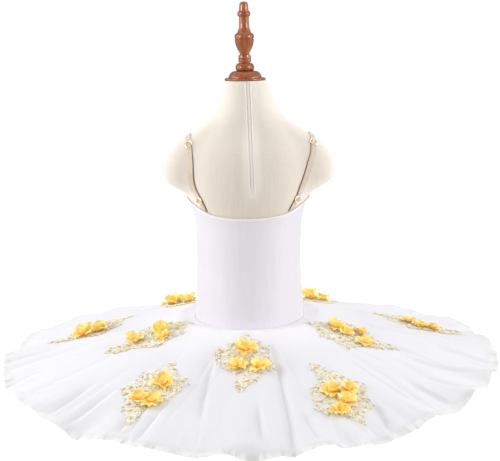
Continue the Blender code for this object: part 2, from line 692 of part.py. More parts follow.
def make_flowers(number, place):
    """Three organza flowers on one applique, fused at their roots."""
    centres = [Vector((along, across)) + place.flowers for along, across, _ in FLOWERS]
    roots = []
    for centre, (_, _, spin) in zip(centres, FLOWERS):
        ring = []
        for petal in range(PETALS):
            angle = math.radians(spin) + math.tau * petal / PETALS
            ring.append(centre + Vector((math.cos(angle), math.sin(angle))) * FLOWER_BASE)
        roots.append(ring)
    outline = cluster_outline(centres)
    flat, kept = triangles_of(outline, roots, ())
    triangles = [tuple(face) for face, _ in kept]
    under_flowers = {tuple(face) for face, owner in kept if owner != [0]}
    lift = LACE_LIFT + LACE_WALL + VEIN_RISE + SEAM_GAP
    lower = [place.on_net(point.x, point.y, lift) for point in flat]
    upper = [place.on_net(point.x, point.y, lift + BASE_WALL) for point in flat]
    bm = bmesh.new()
    high = thick_sheet(bm, lower, upper, triangles, under_flowers)
    up = place.normal()
    level = [edge - up * edge.dot(up) for edge in (place.along, place.across)]
    axes = (level[0].normalized(), level[1].normalized(), up)
    for index, (centre, (_, _, spin)) in enumerate(zip(centres, FLOWERS)):
        first = len(outline) + index * PETALS
        middle = place.on_net(centre.x, centre.y, lift + BASE_WALL)
        add_flower(bm, high[first:first + PETALS], middle, axes, spin)
    return add_object(f"flowers_{number:02d}", bm, FLOWER_CLOTH, crease=60.0)


# ---- straps ----------------------------------------------------------------------------------

def shoulder_hit(torso_tree, angle, distance):
    """The torso's surface where a level line at this distance meets the angle."""
    turn = math.radians(angle)
    away = Vector((0.0, -math.cos(turn), math.sin(turn)))
    axis = Vector((distance, SHOULDER_AXIS[0], RIM_LEVEL + SHOULDER_AXIS[1]))
    return torso_tree.ray_cast(axis + away * FAR, -away)[0]


def route_angle(torso_tree, side, height, angles):
    """The angle at which the strap's middle passes a height, found by halving."""
    low, high = angles
    rising = high > low
    for _ in range(HALVINGS):
        middle = 0.5 * (low + high)
        distance = interpolate(STRAP_ROUTE, middle)[0] * side
        above = shoulder_hit(torso_tree, middle, distance).z > RIM_LEVEL + height
        if above == rising:
            high = middle
        else:
            low = middle
    return 0.5 * (low + high)


def make_strap(name, torso_tree, side, first, last, stations):
    """A flat strap on the torso between two angles of its route."""
    middles = []
    for station in range(stations):
        angle = first + (last - first) * station / (stations - 1)
        distance = interpolate(STRAP_ROUTE, angle)[0]
        edges = [
            shoulder_hit(torso_tree, angle, side * (distance + half * STRAP_WIDTH))
            for half in (-0.5, 0.0, 0.5)
        ]
        middles.append(edges)
    inner, outer = [], []
    for station, row in enumerate(middles):
        run = middles[min(station + 1, stations - 1)][1] - middles[max(station - 1, 0)][1]
        up = (row[2] - row[0]).cross(run).normalized() * side
        inner.append([point + up * STRAP_LIFT for point in row])
        outer.append([point + up * (STRAP_LIFT + STRAP_WALL) for point in row])
    return add_object(name, cloth_wall(outer, inner, False), SATIN)


def strap_frame(torso_tree, side, height):
    """The middle of the strap at a height on the back, with its directions."""
    angle = route_angle(torso_tree, side, height, BACK_ANGLES)
    distance = interpolate(STRAP_ROUTE, angle)[0]
    near = shoulder_hit(torso_tree, angle, side * (distance - 0.5 * STRAP_WIDTH))
    far = shoulder_hit(torso_tree, angle, side * (distance + 0.5 * STRAP_WIDTH))
    below = shoulder_hit(torso_tree, angle - FRAME_REACH, side * distance)
    above = shoulder_hit(torso_tree, angle + FRAME_REACH, side * distance)
    across = (far - near).normalized()
    along = (above - below).normalized()
    up = across.cross(along).normalized() * side
    along = up.cross(across).normalized()
    lift = STRAP_LIFT + STRAP_WALL + SEAM_GAP
    return 0.5 * (near + far) + up * lift, across, along, up


def flat_metal(name, frame, outline, gaps, wall):
    """A flat metal fitting with holes, lying on the strap."""
    middle, across, along, up = frame
    flat, kept = triangles_of(outline, gaps, ())
    triangles = [tuple(face) for face, owner in kept if owner == [0]]
    lower = [middle + across * point.x + along * point.y for point in flat]
    upper = [point + up * wall for point in lower]
    bm = bmesh.new()
    thick_sheet(bm, lower, upper, triangles)
    return add_object(name, bm, GILT)


def box_corners(centre_along, across, along):
    """Four corners of a flat box about a point on the middle line."""
    return [
        (-0.5 * across, centre_along - 0.5 * along), (0.5 * across, centre_along - 0.5 * along),
        (0.5 * across, centre_along + 0.5 * along), (-0.5 * across, centre_along + 0.5 * along),
    ]


def circle_corners(radius):
    """Corners of the ring's round edge."""
    turns = [math.tau * corner / RING_SIDES for corner in range(RING_SIDES)]
    return [(radius * math.cos(turn), radius * math.sin(turn)) for turn in turns]


def make_straps(torso_tree):
    """Both straps, their short tabs, and the gilt sliders and rings on them."""
    for word, side in (("left", -1), ("right", 1)):
        back_end = route_angle(torso_tree, side, STRAP_BACK_END, BACK_ANGLES)
        ring = route_angle(torso_tree, side, RING_HEIGHT, BACK_ANGLES)
        front_end = route_angle(torso_tree, side, STRAP_FRONT_END, FRONT_ANGLES)
        above, below = ring + RING_GAP, ring - RING_GAP
        make_strap(f"strap_{word}", torso_tree, side, above, front_end, STRAP_STATIONS)
        make_strap(f"strap_tab_{word}", torso_tree, side, back_end, below, TAB_STATIONS)
        pitch = SLIDER_SLOT[1] + SLIDER_SIZE[2]
        slots = [
            box_corners(place, *SLIDER_SLOT) for place in (-0.5 * pitch, 0.5 * pitch)
        ]
        outline = box_corners(0.0, SLIDER_SIZE[0], SLIDER_SIZE[1])
        frame = strap_frame(torso_tree, side, SLIDER_HEIGHT)
        flat_metal(f"strap_slider_{word}", frame, outline, slots, SLIDER_SIZE[2])
        middle, across, along, up = strap_frame(torso_tree, side, RING_HEIGHT)
        frame = (middle + up * RING_LIFT, across, along, up)
        outside, inside = (circle_corners(radius) for radius in RING_RADII)
        flat_metal(f"strap_ring_{word}", frame, outside, [inside], RING_WALL)


def main():
    """Build every piece of the form and the garment."""
    clear_scene()
    torso_tree = surface_tree(make_torso())
    make_zip_tape(torso_tree)
    make_stand()
    for panel in BODICE_PANELS:
        make_bodice_panel(*panel)
    make_binding()
    make_yoke()
    nets = [make_net(*layer) for layer in NET_LAYERS]
    net_tree = surface_tree(nets[0])
    for number, row in enumerate(APPLIQUES, 1):
        place = Place(row, net_tree)
        make_lace(number, place)
        make_flowers(number, place)
    make_straps(torso_tree)


main()
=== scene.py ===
"""Looks for a child's ballet tutu on a limbless dress form.

The garment's back faces -Y.  A "turn" is an angle about the vertical in degrees: 0 at
the centre back, 90 at the right side seen from behind, 180 in front.  A "height" is in
millimetres above the level of the skirt's rim.  Sizes are in millimetres unless they
say otherwise.
"""

from __future__ import annotations

import logging
import math
import random
from dataclasses import dataclass, field, replace
from enum import Enum
from typing import Callable, Sequence

import bmesh
import bpy
from mathutils import Matrix, Vector, noise
from mathutils.bvhtree import BVHTree

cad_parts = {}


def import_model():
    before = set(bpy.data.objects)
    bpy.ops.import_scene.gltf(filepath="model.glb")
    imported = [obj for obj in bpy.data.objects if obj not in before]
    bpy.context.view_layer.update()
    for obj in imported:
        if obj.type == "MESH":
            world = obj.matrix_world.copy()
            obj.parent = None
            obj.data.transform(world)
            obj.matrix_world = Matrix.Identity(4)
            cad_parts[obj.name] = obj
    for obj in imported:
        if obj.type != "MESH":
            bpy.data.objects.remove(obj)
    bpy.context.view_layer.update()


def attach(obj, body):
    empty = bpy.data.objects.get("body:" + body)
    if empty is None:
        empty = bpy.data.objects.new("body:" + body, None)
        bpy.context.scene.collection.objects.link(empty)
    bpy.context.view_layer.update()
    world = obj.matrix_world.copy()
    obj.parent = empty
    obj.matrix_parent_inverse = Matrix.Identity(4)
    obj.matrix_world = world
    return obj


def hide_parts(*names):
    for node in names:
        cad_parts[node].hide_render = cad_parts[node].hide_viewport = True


LOG = logging.getLogger("tutu")

MM = 0.001
UP = Vector((0.0, 0.0, 1.0))
RIM_LEVEL = 600.0
# points nearer than this many metres are welded: in most pieces, and in the small fittings
WELD = 1e-6
FINE_WELD = 1e-7

BMesh = bmesh.types.BMesh
Object = bpy.types.Object
Material = bpy.types.Material
NodeTree = bpy.types.NodeTree
Node = bpy.types.Node
Socket = bpy.types.NodeSocket
Colour = tuple[float, float, float]
Span = tuple[float, float]
Size = tuple[float, float, float]
Table = Sequence[Sequence[float]]
Placer = Callable[[float, float], Vector]
Sockets = dict[str, object]


class Slot(Enum):
    """Material slots of the pieces."""

    FORM = "form_cloth"
    BODICE = "bodice_cloth"
    BINDING = "binding_cloth"
    NET = "net"
    LACE = "lace"
    ORGANZA = "organza"
    SATIN = "strap_satin"
    GILT = "gilt_metal"
    WOOD = "red_brown_wood"


# ------------------------------------------------------------------ small maths

def interpolate(table: Table, key: float) -> tuple[float, ...]:
    """Read a table whose first column rises, straight between its rows.

    Args:
        table: rows of numbers, the first of each being the key.
        key: where to read.

    Returns:
        The other columns at the key.
    """
    if key <= table[0][0]:
        return tuple(table[0][1:])
    for low, high in zip(table, table[1:]):
        if key <= high[0]:
            share = (key - low[0]) / (high[0] - low[0])
            return tuple(a + (b - a) * share for a, b in zip(low[1:], high[1:]))
    return tuple(table[-1][1:])


def smooth_interpolate(table: Table, key: float) -> tuple[float, ...]:
    """Read a table whose first column rises, on a smooth curve through its rows.

    Args:
        table: rows of numbers, the first of each being the key.
        key: where to read.

    Returns:
        The other columns at the key.
    """
    key = min(max(key, table[0][0]), table[-1][0])
    index = 0
    while index < len(table) - 2 and key > table[index + 1][0]:
        index += 1
    one, two = table[index], table[index + 1]
    before, after = table[max(index - 1, 0)], table[min(index + 2, len(table) - 1)]
    span = two[0] - one[0]
    share = (key - one[0]) / span
    values = []
    for column in range(1, len(one)):
        slope_one = (two[column] - before[column]) / max(two[0] - before[0], 1e-9) * span
        slope_two = (after[column] - one[column]) / max(after[0] - one[0], 1e-9) * span
        square, cube = share ** 2, share ** 3
        values.append(
            (2 * cube - 3 * square + 1) * one[column] + (cube - 2 * square + share) * slope_one
            + (3 * square - 2 * cube) * two[column] + (cube - square) * slope_two
        )
    return tuple(values)


def fade(value: float, start: float, end: float) -> float:
    """Rise smoothly from 0 at start to 1 at end; start may be the larger."""
    share = min(1.0, max(0.0, (value - start) / (end - start)))
    return share * share * (3.0 - 2.0 * share)


def folded_turn(turn: float) -> float:
    """The same turn between -180 and 180."""
    return (turn + 180.0) % 360.0 - 180.0


def ring_noise(turn: float, pace: float, along: float, seed: float) -> float:
    """Noise that closes on itself round the body.

    Args:
        turn: angle in degrees.
        pace: about a sixth of the number of bumps in one round.
        along: a second direction for the noise.
        seed: picks one pattern.

    Returns:
        A value between about -1 and 1.
    """
    angle = math.radians(turn)
    place = Vector((math.cos(angle) * pace, math.sin(angle) * pace + seed * 31.7, along))
    return noise.noise(place)


def turn_at(share: float) -> float:
    """The turn at a share of a round that starts and ends in front."""
    return -180.0 + 360.0 * share


def outward(turn: float) -> Vector:
    """The level direction away from the middle at a turn."""
    angle = math.radians(turn)
    return Vector((math.sin(angle), -math.cos(angle), 0.0))


def flat_axes(angle: float) -> tuple[Vector, Vector]:
    """The direction at an angle of the flat, in radians, and the one to its left."""
    run = Vector((math.cos(angle), math.sin(angle), 0.0))
    return run, Vector((-run.y, run.x, 0.0))


# ------------------------------------------------------------------ mesh helpers

def new_mesh() -> BMesh:
    """An empty bmesh with a UV map."""
    bm = bmesh.new()
    bm.loops.layers.uv.new("UVMap")
    return bm


def weld(bm: BMesh, distance: float = WELD) -> None:
    """Join points that meet and turn every face outward."""
    bmesh.ops.remove_doubles(bm, verts=bm.verts, dist=distance)
    bmesh.ops.recalc_face_normals(bm, faces=bm.faces)


def spin_round(bm: BMesh, steps: int, distance: float = WELD) -> None:
    """Turn what is drawn once round the vertical and weld it."""
    bmesh.ops.spin(bm, geom=bm.verts[:] + bm.edges[:], cent=(0.0, 0.0, 0.0),
                   axis=(0.0, 0.0, 1.0), angle=math.tau, steps=steps, use_merge=True,
                   use_duplicate=False)
    weld(bm, distance)


def close_ends(bm: BMesh) -> None:
    """Fill every hole with a face."""
    rims = [edge for edge in bm.edges if edge.is_boundary]
    bmesh.ops.holes_fill(bm, edges=rims, sides=0)


def mapped_grid(columns: int, rows: int, place: Placer, wrap: bool = False) -> BMesh:
    """A grid whose points are moved to where a function puts them.

    Args:
        columns: faces along the first direction.
        rows: faces along the second direction.
        place: gives a point in millimetres from two shares between 0 and 1.
        wrap: the first and last columns meet and are welded.

    Returns:
        A bmesh in metres, with the shares kept as its UV map.
    """
    bm = new_mesh()
    uv = bm.loops.layers.uv.active
    bmesh.ops.create_grid(bm, x_segments=columns, y_segments=rows, size=0.5)
    for face in bm.faces:
        for loop in face.loops:
            loop[uv].uv = (loop.vert.co.x + 0.5, loop.vert.co.y + 0.5)
    for vert in bm.verts:
        vert.co = place(vert.co.x + 0.5, vert.co.y + 0.5) * MM
    if wrap:
        bmesh.ops.remove_doubles(bm, verts=bm.verts, dist=WELD)
    return bm


def swept(path: Sequence[Vector], ups: Sequence[Vector], widths: Sequence[tuple[float, float]],
          sides: int) -> BMesh:
    """A cord of oval section along a path, closed to a point where its width is nothing.

    Args:
        path: its middle line, in millimetres.
        ups: the direction of its height at each point.
        widths: half width and half height at each point.
        sides: faces round the section.

    Returns:
        A bmesh in metres; its UV map goes round, then along.
    """
    last = len(path) - 1

    def place(around: float, along: float) -> Vector:
        """A point of the cord."""
        step = round(along * last)
        run = (path[min(step + 1, last)] - path[max(step - 1, 0)]).normalized()
        across = run.cross(ups[step]).normalized()
        angle = math.tau * around
        half, high = widths[step]
        return path[step] + across * math.cos(angle) * half + ups[step] * math.sin(angle) * high

    return mapped_grid(sides, last, place, wrap=True)


def join_into(target: BMesh, source: BMesh) -> None:
    """Add one bmesh to another.

    Args:
        target: the bmesh that grows.
        source: the one added, which is freed.
    """
    mesh = bpy.data.meshes.new("part")
    source.to_mesh(mesh)
    source.free()
    target.from_mesh(mesh)
    bpy.data.meshes.remove(mesh)


def add_object(name: str, data: bpy.types.ID) -> Object:
    """Put something in the scene.

    Args:
        name: its name.
        data: a mesh, a camera or a lamp.

    Returns:
        The new object.
    """
    thing = bpy.data.objects.new(name, data)
    bpy.context.scene.collection.objects.link(thing)
    return thing


def add_mesh(name: str, bm: BMesh, material: Material) -> Object:
    """Put a bmesh in the scene.

    Args:
        name: the object's name.
        bm: its mesh in metres, freed here.
        material: its finish.

    Returns:
        The new object.
    """
    mesh = bpy.data.meshes.new(name)
    bm.to_mesh(mesh)
    bm.free()
    mesh.materials.append(material)
    return add_object(name, mesh)


def make_piece(name: str, bm: BMesh, material: Material, slot: Slot,
               nodes: Sequence[str] = (), wall: float = 0.0, crease: float = 50.0,
               ) -> Object:
    """Turn a bmesh in metres into a piece of the object.

    Args:
        name: the piece's name.
        bm: its mesh, freed here.
        material: its finish.
        slot: a material slot; not used.
        nodes: the solids that it stands for.
        wall: thickness given to a single sheet.
        crease: edges sharper than this angle stay sharp.

    Returns:
        The new object.
    """
    if wall:
        bmesh.ops.solidify(bm, geom=bm.faces[:], thickness=-wall * MM)
        bmesh.ops.recalc_face_normals(bm, faces=bm.faces)
    piece = add_mesh(name, bm, material)
    piece.data.shade_smooth()
    piece.data.set_sharp_from_angle(angle=math.radians(crease))
    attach(piece, "root")
    if nodes:
        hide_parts(*nodes)
    LOG.info("%s: %d faces", name, len(piece.data.polygons))
    return piece


def search_tree(piece: Object) -> BVHTree:
    """A search tree over a piece's faces.

    Args:
        piece: the piece.

    Returns:
        The tree, in metres.
    """
    bm = bmesh.new()
    bm.from_mesh(piece.data)
    tree = BVHTree.FromBMesh(bm)
    bm.free()
    return tree


# ------------------------------------------------------------------ finishes

class Wiring:
    """Adds and joins nodes in one tree."""

    def __init__(self, tree: NodeTree) -> None:
        """Keep the tree."""
        self.tree = tree

    def fill(self, node: Node, inputs: dict[str | int, object]) -> Node:
        """Feed a node.

        Args:
            node: the node.
            inputs: values or sockets for its inputs.

        Returns:
            The same node.
        """
        for key, value in inputs.items():
            if isinstance(value, Socket):
                self.tree.links.new(value, node.inputs[key])
            else:
                node.inputs[key].default_value = value
        return node

    def add(self, kind: str, inputs: dict[str | int, object] | None = None,
            **settings: object) -> Node:
        """Add a node.

        Args:
            kind: its type without the leading "ShaderNode".
            inputs: values or sockets for its inputs.
            settings: properties set before the inputs.

        Returns:
            The node.
        """
        node = self.tree.nodes.new("ShaderNode" + kind)
        for key, value in settings.items():
            setattr(node, key, value)
        return self.fill(node, inputs or {})

    def group(self, tree: NodeTree, **values: object) -> Socket:
        """Place a node group with its own values and give its only output."""
        node = self.add("Group", node_tree=tree)
        return self.fill(node, {key.capitalize(): value
                                for key, value in values.items()}).outputs[0]

    def math(self, operation: str, one: object, two: object = 0.0) -> Socket:
        """One sum of two values or sockets."""
        return self.add("Math", {0: one, 1: two}, operation=operation).outputs[0]

    def times(self, one: object, two: object) -> Socket:
        """One value or socket times another."""
        return self.math("MULTIPLY", one, two)

    def blend(self, share: object, one: object, two: object) -> Socket:
        """A colour between two colours.

        Args:
            share: how far towards the second colour.
            one: the first colour or a socket.
            two: the second.

        Returns:
            The colour's socket.
        """
        one = (*one, 1.0) if isinstance(one, tuple) else one
        two = (*two, 1.0) if isinstance(two, tuple) else two
        node = self.add("Mix", {0: share, 6: one, 7: two}, data_type="RGBA")
        return node.outputs[2]

    def stretch(self, value: object, low: float, high: float, to_low: float = 0.0,
                to_high: float = 1.0) -> Socket:
        """Map a range of values to another, clamped."""
        return self.add("MapRange", {0: value, 1: low, 2: high, 3: to_low, 4: to_high},
                        clamp=True).outputs[0]

    def between(self, share: object, low: float, high: float) -> Socket:
        """A value at a share of the way from one to another."""
        return self.stretch(share, 0.0, 1.0, low, high)

    def noise(self, place: Socket, detail: float, roughness: float) -> Socket:
        """Noise at places that are already stretched."""
        return self.add("TexNoise", {"Vector": place, "Scale": 1.0, "Detail": detail,
                                     "Roughness": roughness}).outputs[0]

    def bump(self, height: object, strength: float, depth: float) -> Socket:
        """The normal over a relief."""
        return self.add("Bump", {"Height": height, "Strength": strength,
                                 "Distance": depth * MM}).outputs[0]

    def spot(self) -> Sequence[Socket]:
        """The place on the piece, along X, Y and Z, in metres."""
        return self.add("SeparateXYZ", {0: self.add("TexCoord").outputs["Object"]}).outputs

    def on_map(self) -> Sequence[Socket]:
        """The place on the piece's UV map, in its two directions."""
        return self.add("SeparateXYZ", {0: self.add("UVMap").outputs[0]}).outputs

    def facing(self) -> Socket:
        """How far the surface is seen edge on."""
        return self.add("LayerWeight", {0: 0.5}).outputs["Facing"]


class SharedEffects:
    """Node groups that more than one finish uses, each built once."""

    def __init__(self) -> None:
        """Build the groups."""
        self.cloud = self.build("soft_cloud", ("Across", "Upward"), "Value", self.draw_cloud)
        self.ribs = self.build("fine_ribs", ("Lines", "Breaks"), "Height", self.draw_ribs)
        self.weave = self.build("crossed_threads", ("Across", "Along"), "Height", self.draw_weave)
        self.twist = self.build("slanting_stitches", ("Stitches", "Slant"), "Height",
                                self.draw_twist)

    def build(self, name: str, inputs: Sequence[str], output: str,
              draw: Callable[..., Socket]) -> NodeTree:
        """Make one group of plain number sockets.

        Args:
            name: the group's name.
            inputs: names of its two inputs.
            output: name of its output.
            draw: wires the group from its inputs and gives what feeds its output.

        Returns:
            The group.
        """
        tree = bpy.data.node_groups.new(name, "ShaderNodeTree")
        for word in inputs:
            tree.interface.new_socket(name=word, in_out="INPUT", socket_type="NodeSocketFloat")
        tree.interface.new_socket(name=output, in_out="OUTPUT", socket_type="NodeSocketFloat")
        given = tree.nodes.new("NodeGroupInput").outputs
        made = tree.nodes.new("NodeGroupOutput").inputs
        tree.links.new(draw(Wiring(tree), given[0], given[1]), made[0])
        return tree

    def draw_cloud(self, wires: Wiring, across: Socket, upward: Socket) -> Socket:
        """Soft noise, with a pace across and a pace up the piece in bumps for each metre."""
        pace = wires.add("CombineXYZ", {0: across, 1: across, 2: upward}).outputs[0]
        return wires.noise(
            wires.add("VectorMath", {0: wires.add("TexCoord").outputs["Object"], 1: pace},
                      operation="MULTIPLY").outputs[0], detail=3.0, roughness=0.55)

    def draw_ribs(self, wires: Wiring, lines: Socket, breaks: Socket) -> Socket:
        """Fine lines along the second direction of the UV map, broken by noise."""
        spot = dict(enumerate(map(wires.times, wires.on_map(), (lines, breaks))))
        return wires.noise(wires.add("CombineXYZ", spot).outputs[0], detail=2.0, roughness=0.6)

    def draw_weave(self, wires: Wiring, across: Socket, along: Socket) -> Socket:
        """Crossed threads, counted over the UV map."""
        waves = [wires.math("SINE", wires.times(wires.times(part, threads), math.tau))
                 for part, threads in zip(wires.on_map(), (across, along))]
        return wires.stretch(wires.times(*waves), -1.0, 1.0)

    def draw_twist(self, wires: Wiring, stitches: Socket, slant: Socket) -> Socket:
        """Slanting stitches along a cord, on its UV map."""
        parts = map(wires.times, wires.on_map(), (slant, stitches))
        return wires.stretch(wires.math("SINE", wires.times(wires.math("ADD", *parts),
                                                            math.tau)), -1.0, 1.0)


@dataclass(frozen=True, kw_only=True)
class Finish:
    """A material; each kind wires what feeds its shader."""

    name: str

    def build(self, shared: SharedEffects) -> Material:
        """Make the material.

        Args:
            shared: the common node groups.

        Returns:
            The material.
        """
        material = bpy.data.materials.new(self.name)
        material.use_nodes = True
        wires = Wiring(material.node_tree)
        shader = material.node_tree.nodes["Principled BSDF"]
        wires.fill(shader, self.sockets(wires, shared))
        return material

    def sockets(self, wires: Wiring, shared: SharedEffects) -> Sockets:
        """Wire what feeds the shader.

        Args:
            wires: the material's wiring.
            shared: the common node groups.

        Returns:
            What feeds the shader, by the names of its inputs.
        """
        raise NotImplementedError


@dataclass(frozen=True, kw_only=True)
class KnitFinish(Finish):
    """A knitted or stretch cloth with soft vertical streaks."""

    light: Colour
    dark: Colour
    # colour seen edge on: a painted highlight where lighter than the cloth, painted shade where
    # darker
    edge: Colour
    painted_rim_span: Span = (0.1, 0.75)
    across: float
    upward: float
    wales: float
    courses: float
    relief: float
    roughness: float
    sheen: float

    def tint(self, wires: Wiring, colour: Socket) -> Socket:
        """Blend to the edge colour where the cloth is seen edge on: painted highlight if lighter,
        painted shade if darker.
        """
        return wires.blend(wires.stretch(wires.facing(), *self.painted_rim_span), colour, self.edge)

    def sockets(self, wires: Wiring, shared: SharedEffects) -> Sockets:
        """Wire streaks and threads.

        Args:
            wires: the material's wiring.
            shared: the common node groups.

        Returns:
            What feeds the shader, by the names of its inputs.
        """
        cloud = wires.group(shared.cloud, across=self.across, upward=self.upward)
        share = wires.stretch(cloud, 0.3, 0.7)
        weave = wires.group(shared.weave, across=self.wales, along=self.courses)
        relief = wires.math("ADD", weave, wires.times(share, 0.8))
        return {
            "Base Color": self.tint(wires, wires.blend(share, self.dark, self.light)),
            "Normal": wires.bump(relief, 0.5, self.relief),
            "Roughness": wires.between(share, self.roughness - 0.06, self.roughness + 0.06),
            "Sheen Weight": self.sheen, "Sheen Roughness": 0.4, "Specular IOR Level": 0.25,
        }


@dataclass(frozen=True, kw_only=True)
class CoverFinish(KnitFinish):
    """The form's cover, with painted light: a pale band over the zip's seam and a pale neck."""

    # colour of the painted light over the seam and up the neck
    pale: Colour = (0.96, 0.89, 0.80)
    lit_band_at: float = 8.0
    lit_band_half: float = 20.0
    # heights from the floor: the lower end of the painted light band, and where the painted light
    # up the neck starts and ends
    lit_band_low: float = 890.0
    neck: Span = (980.0, 1050.0)

    def tint(self, wires: Wiring, colour: Socket) -> Socket:
        """Add painted light: a pale band over the seam, which is on the back alone, and a pale
        neck.

        Args:
            wires: the material's wiring.
            colour: the cloth's colour.

        Returns:
            The changed colour.
        """
        across, depth, rise = wires.spot()
        away = wires.math("ABSOLUTE", wires.math("SUBTRACT", across, self.lit_band_at * MM))
        band = wires.stretch(away, 0.4 * self.lit_band_half * MM, self.lit_band_half * MM, 1.0, 0.0)
        low = self.lit_band_low * MM
        band = wires.times(band, wires.stretch(rise, low - 0.02, low + 0.03))
        band = wires.times(band, wires.stretch(depth, -0.02, 0.0, 1.0, 0.0))
        neck = wires.stretch(rise, self.neck[0] * MM, self.neck[1] * MM, 0.0, 0.55)
        # where the painted light falls
        pale = wires.math("MAXIMUM", band, neck)
        return super().tint(wires, wires.blend(pale, colour, self.pale))


@dataclass(frozen=True, kw_only=True)
class ZipFinish(Finish):
    """Tape paler than the cover as painted light, with painted shade in the grooves by its hidden
    coil.
    """

    name: str = "concealed_zip_tape"
    # the tape's colour is paler than the cover as painted light; the grooves' colour is painted
    # shade
    cloth: Colour = (0.94, 0.87, 0.785)
    groove_shade: Colour = (0.55, 0.52, 0.53)
    width: float = 13.0
    groove_at: float = 2.45

    def sockets(self, wires: Wiring, shared: SharedEffects) -> Sockets:
        """Wire the painted shade in the grooves and the threads.

        Args:
            wires: the material's wiring.
            shared: the common node groups.

        Returns:
            What feeds the shader, by the names of its inputs.
        """
        across, along, _ = wires.on_map()
        offset = wires.math("ABSOLUTE", wires.math("SUBTRACT", across, 0.5))
        away = wires.math("SUBTRACT", wires.times(offset, self.width), self.groove_at)
        # mask of the painted shade along the grooves
        line = wires.stretch(wires.math("ABSOLUTE", away), 0.25, 0.75, 1.0, 0.0)
        mask = wires.times(line, wires.stretch(along, 0.02, 0.12))
        return {
            "Base Color": wires.blend(mask, self.cloth, self.groove_shade),
            "Normal": wires.bump(wires.group(shared.weave, across=16.0, along=320.0), 0.4, 0.12),
            "Roughness": wires.between(mask, 0.7, 0.9),
            "Sheen Weight": 0.2, "Specular IOR Level": 0.2,
        }


@dataclass(frozen=True, kw_only=True)
class NetFinish(Finish):
    """Stiff white net: solid where its layers are pressed together, sheer at the rim, with
    painted light and shade.
    """

    # painted light lifting the shade near the waist, where the gathers are also denser
    painted_waist_light: Colour
    light: Colour
    dark: Colour
    rim: Colour
    # colour of the painted shade in the creases and in the rim's fine pleat lines
    painted_fold_shade: Colour
    crease_shade: float
    sheer: float
    solid_at: float
    sheer_at: float
    rim_at: float

    def sockets(self, wires: Wiring, shared: SharedEffects) -> Sockets:
        """Wire the net's colour and how sheer it is.

        Args:
            wires: the material's wiring.
            shared: the common node groups.

        Returns:
            What feeds the shader, by the names of its inputs.
        """
        reach = wires.add("Attribute", attribute_name="reach").outputs["Fac"]
        crease_shade = wires.add("Attribute", attribute_name="crease_shade").outputs["Fac"]
        fine = wires.group(shared.ribs, lines=330.0, breaks=5.0)
        soft = wires.stretch(wires.group(shared.ribs, lines=64.0, breaks=3.0), 0.3, 0.7)
        lines = wires.stretch(fine, 0.34, 0.50)
        edge = wires.math("ADD", reach, wires.times(wires.math("SUBTRACT", fine, 0.5), 0.05))
        body = wires.blend(wires.times(soft, 0.6), self.light, self.dark)
        # painted light near the waist
        body = wires.blend(wires.stretch(reach, 0.26, 0.50, 1.0, 0.0), body, self.painted_waist_light)
        # painted shade in the creases
        body = wires.blend(wires.times(crease_shade, self.crease_shade), body, self.painted_fold_shade)
        near_rim = wires.stretch(reach, 0.78, 1.0)
        outer = wires.stretch(edge, self.rim_at - 0.02, self.rim_at + 0.02)
        tint = wires.math("MAXIMUM", outer, wires.times(near_rim, 0.15))
        bare = wires.stretch(edge, self.solid_at, self.sheer_at)
        thin = wires.between(lines, self.sheer + 0.08, self.sheer - 0.06)
        weave = wires.group(shared.weave, across=1400.0, along=220.0)
        relief = wires.math("ADD", wires.times(weave, 0.25), wires.times(lines, near_rim))
        return {
            # the rim's fine pleat lines take painted shade
            "Base Color": wires.blend(tint, body, wires.blend(lines, self.painted_fold_shade, self.rim)),
            "Alpha": wires.add("Mix", {0: bare, 2: 1.0, 3: thin}).outputs[0],
            "Normal": wires.bump(relief, 0.35, 0.6),
            "Roughness": 0.85, "Sheen Weight": 0.2, "Sheen Roughness": 0.5,
            "Specular IOR Level": 0.1,
        }


@dataclass(frozen=True, kw_only=True)
class ThreadFinish(Finish):
    """Satin-stitched cord with painted light: a painted highlight on its top, painted shade down
    its sides to the net.
    """

    name: str = "lace_thread"
    # colours of the painted highlight on the cord's top and the painted shade on its sides
    painted_crown_light: Colour = (1.0, 0.965, 0.83)
    painted_flank_shade: Colour = (0.95, 0.80, 0.47)
    speck: Colour = (0.64, 0.48, 0.22)
    stitches: float = 9.0
    slant: float = 0.5
    roughness: float = 0.35
    metallic: float = 0.05

    def sockets(self, wires: Wiring, shared: SharedEffects) -> Sockets:
        """Wire the thread's patches, stitches and painted light round the cord.

        Args:
            wires: the material's wiring.
            shared: the common node groups.

        Returns:
            What feeds the shader, by the names of its inputs.
        """
        # painted light round the cord: highlight on its top, shade on its sides
        angle = wires.times(wires.on_map()[0], math.tau)
        painted_crown_light = wires.stretch(wires.math("SINE", angle), -0.15, 0.6)
        cloud = wires.group(shared.cloud, across=140.0, upward=140.0)
        patchy = wires.stretch(cloud, 0.40, 0.50, -0.5, 1.0)
        share = wires.times(painted_crown_light, patchy)
        painted_flank_shade = wires.blend(wires.stretch(patchy, -0.5, 0.2), self.speck, self.painted_flank_shade)
        twist = wires.group(shared.twist, stitches=self.stitches, slant=self.slant)
        return {
            "Base Color": wires.blend(wires.math("MAXIMUM", share, 0.0), painted_flank_shade, self.painted_crown_light),
            "Normal": wires.bump(twist, 0.6, 0.25),
            "Roughness": wires.between(share, self.roughness + 0.2, self.roughness),
            "Metallic": self.metallic, "Sheen Weight": 0.7, "Sheen Roughness": 0.35,
        }


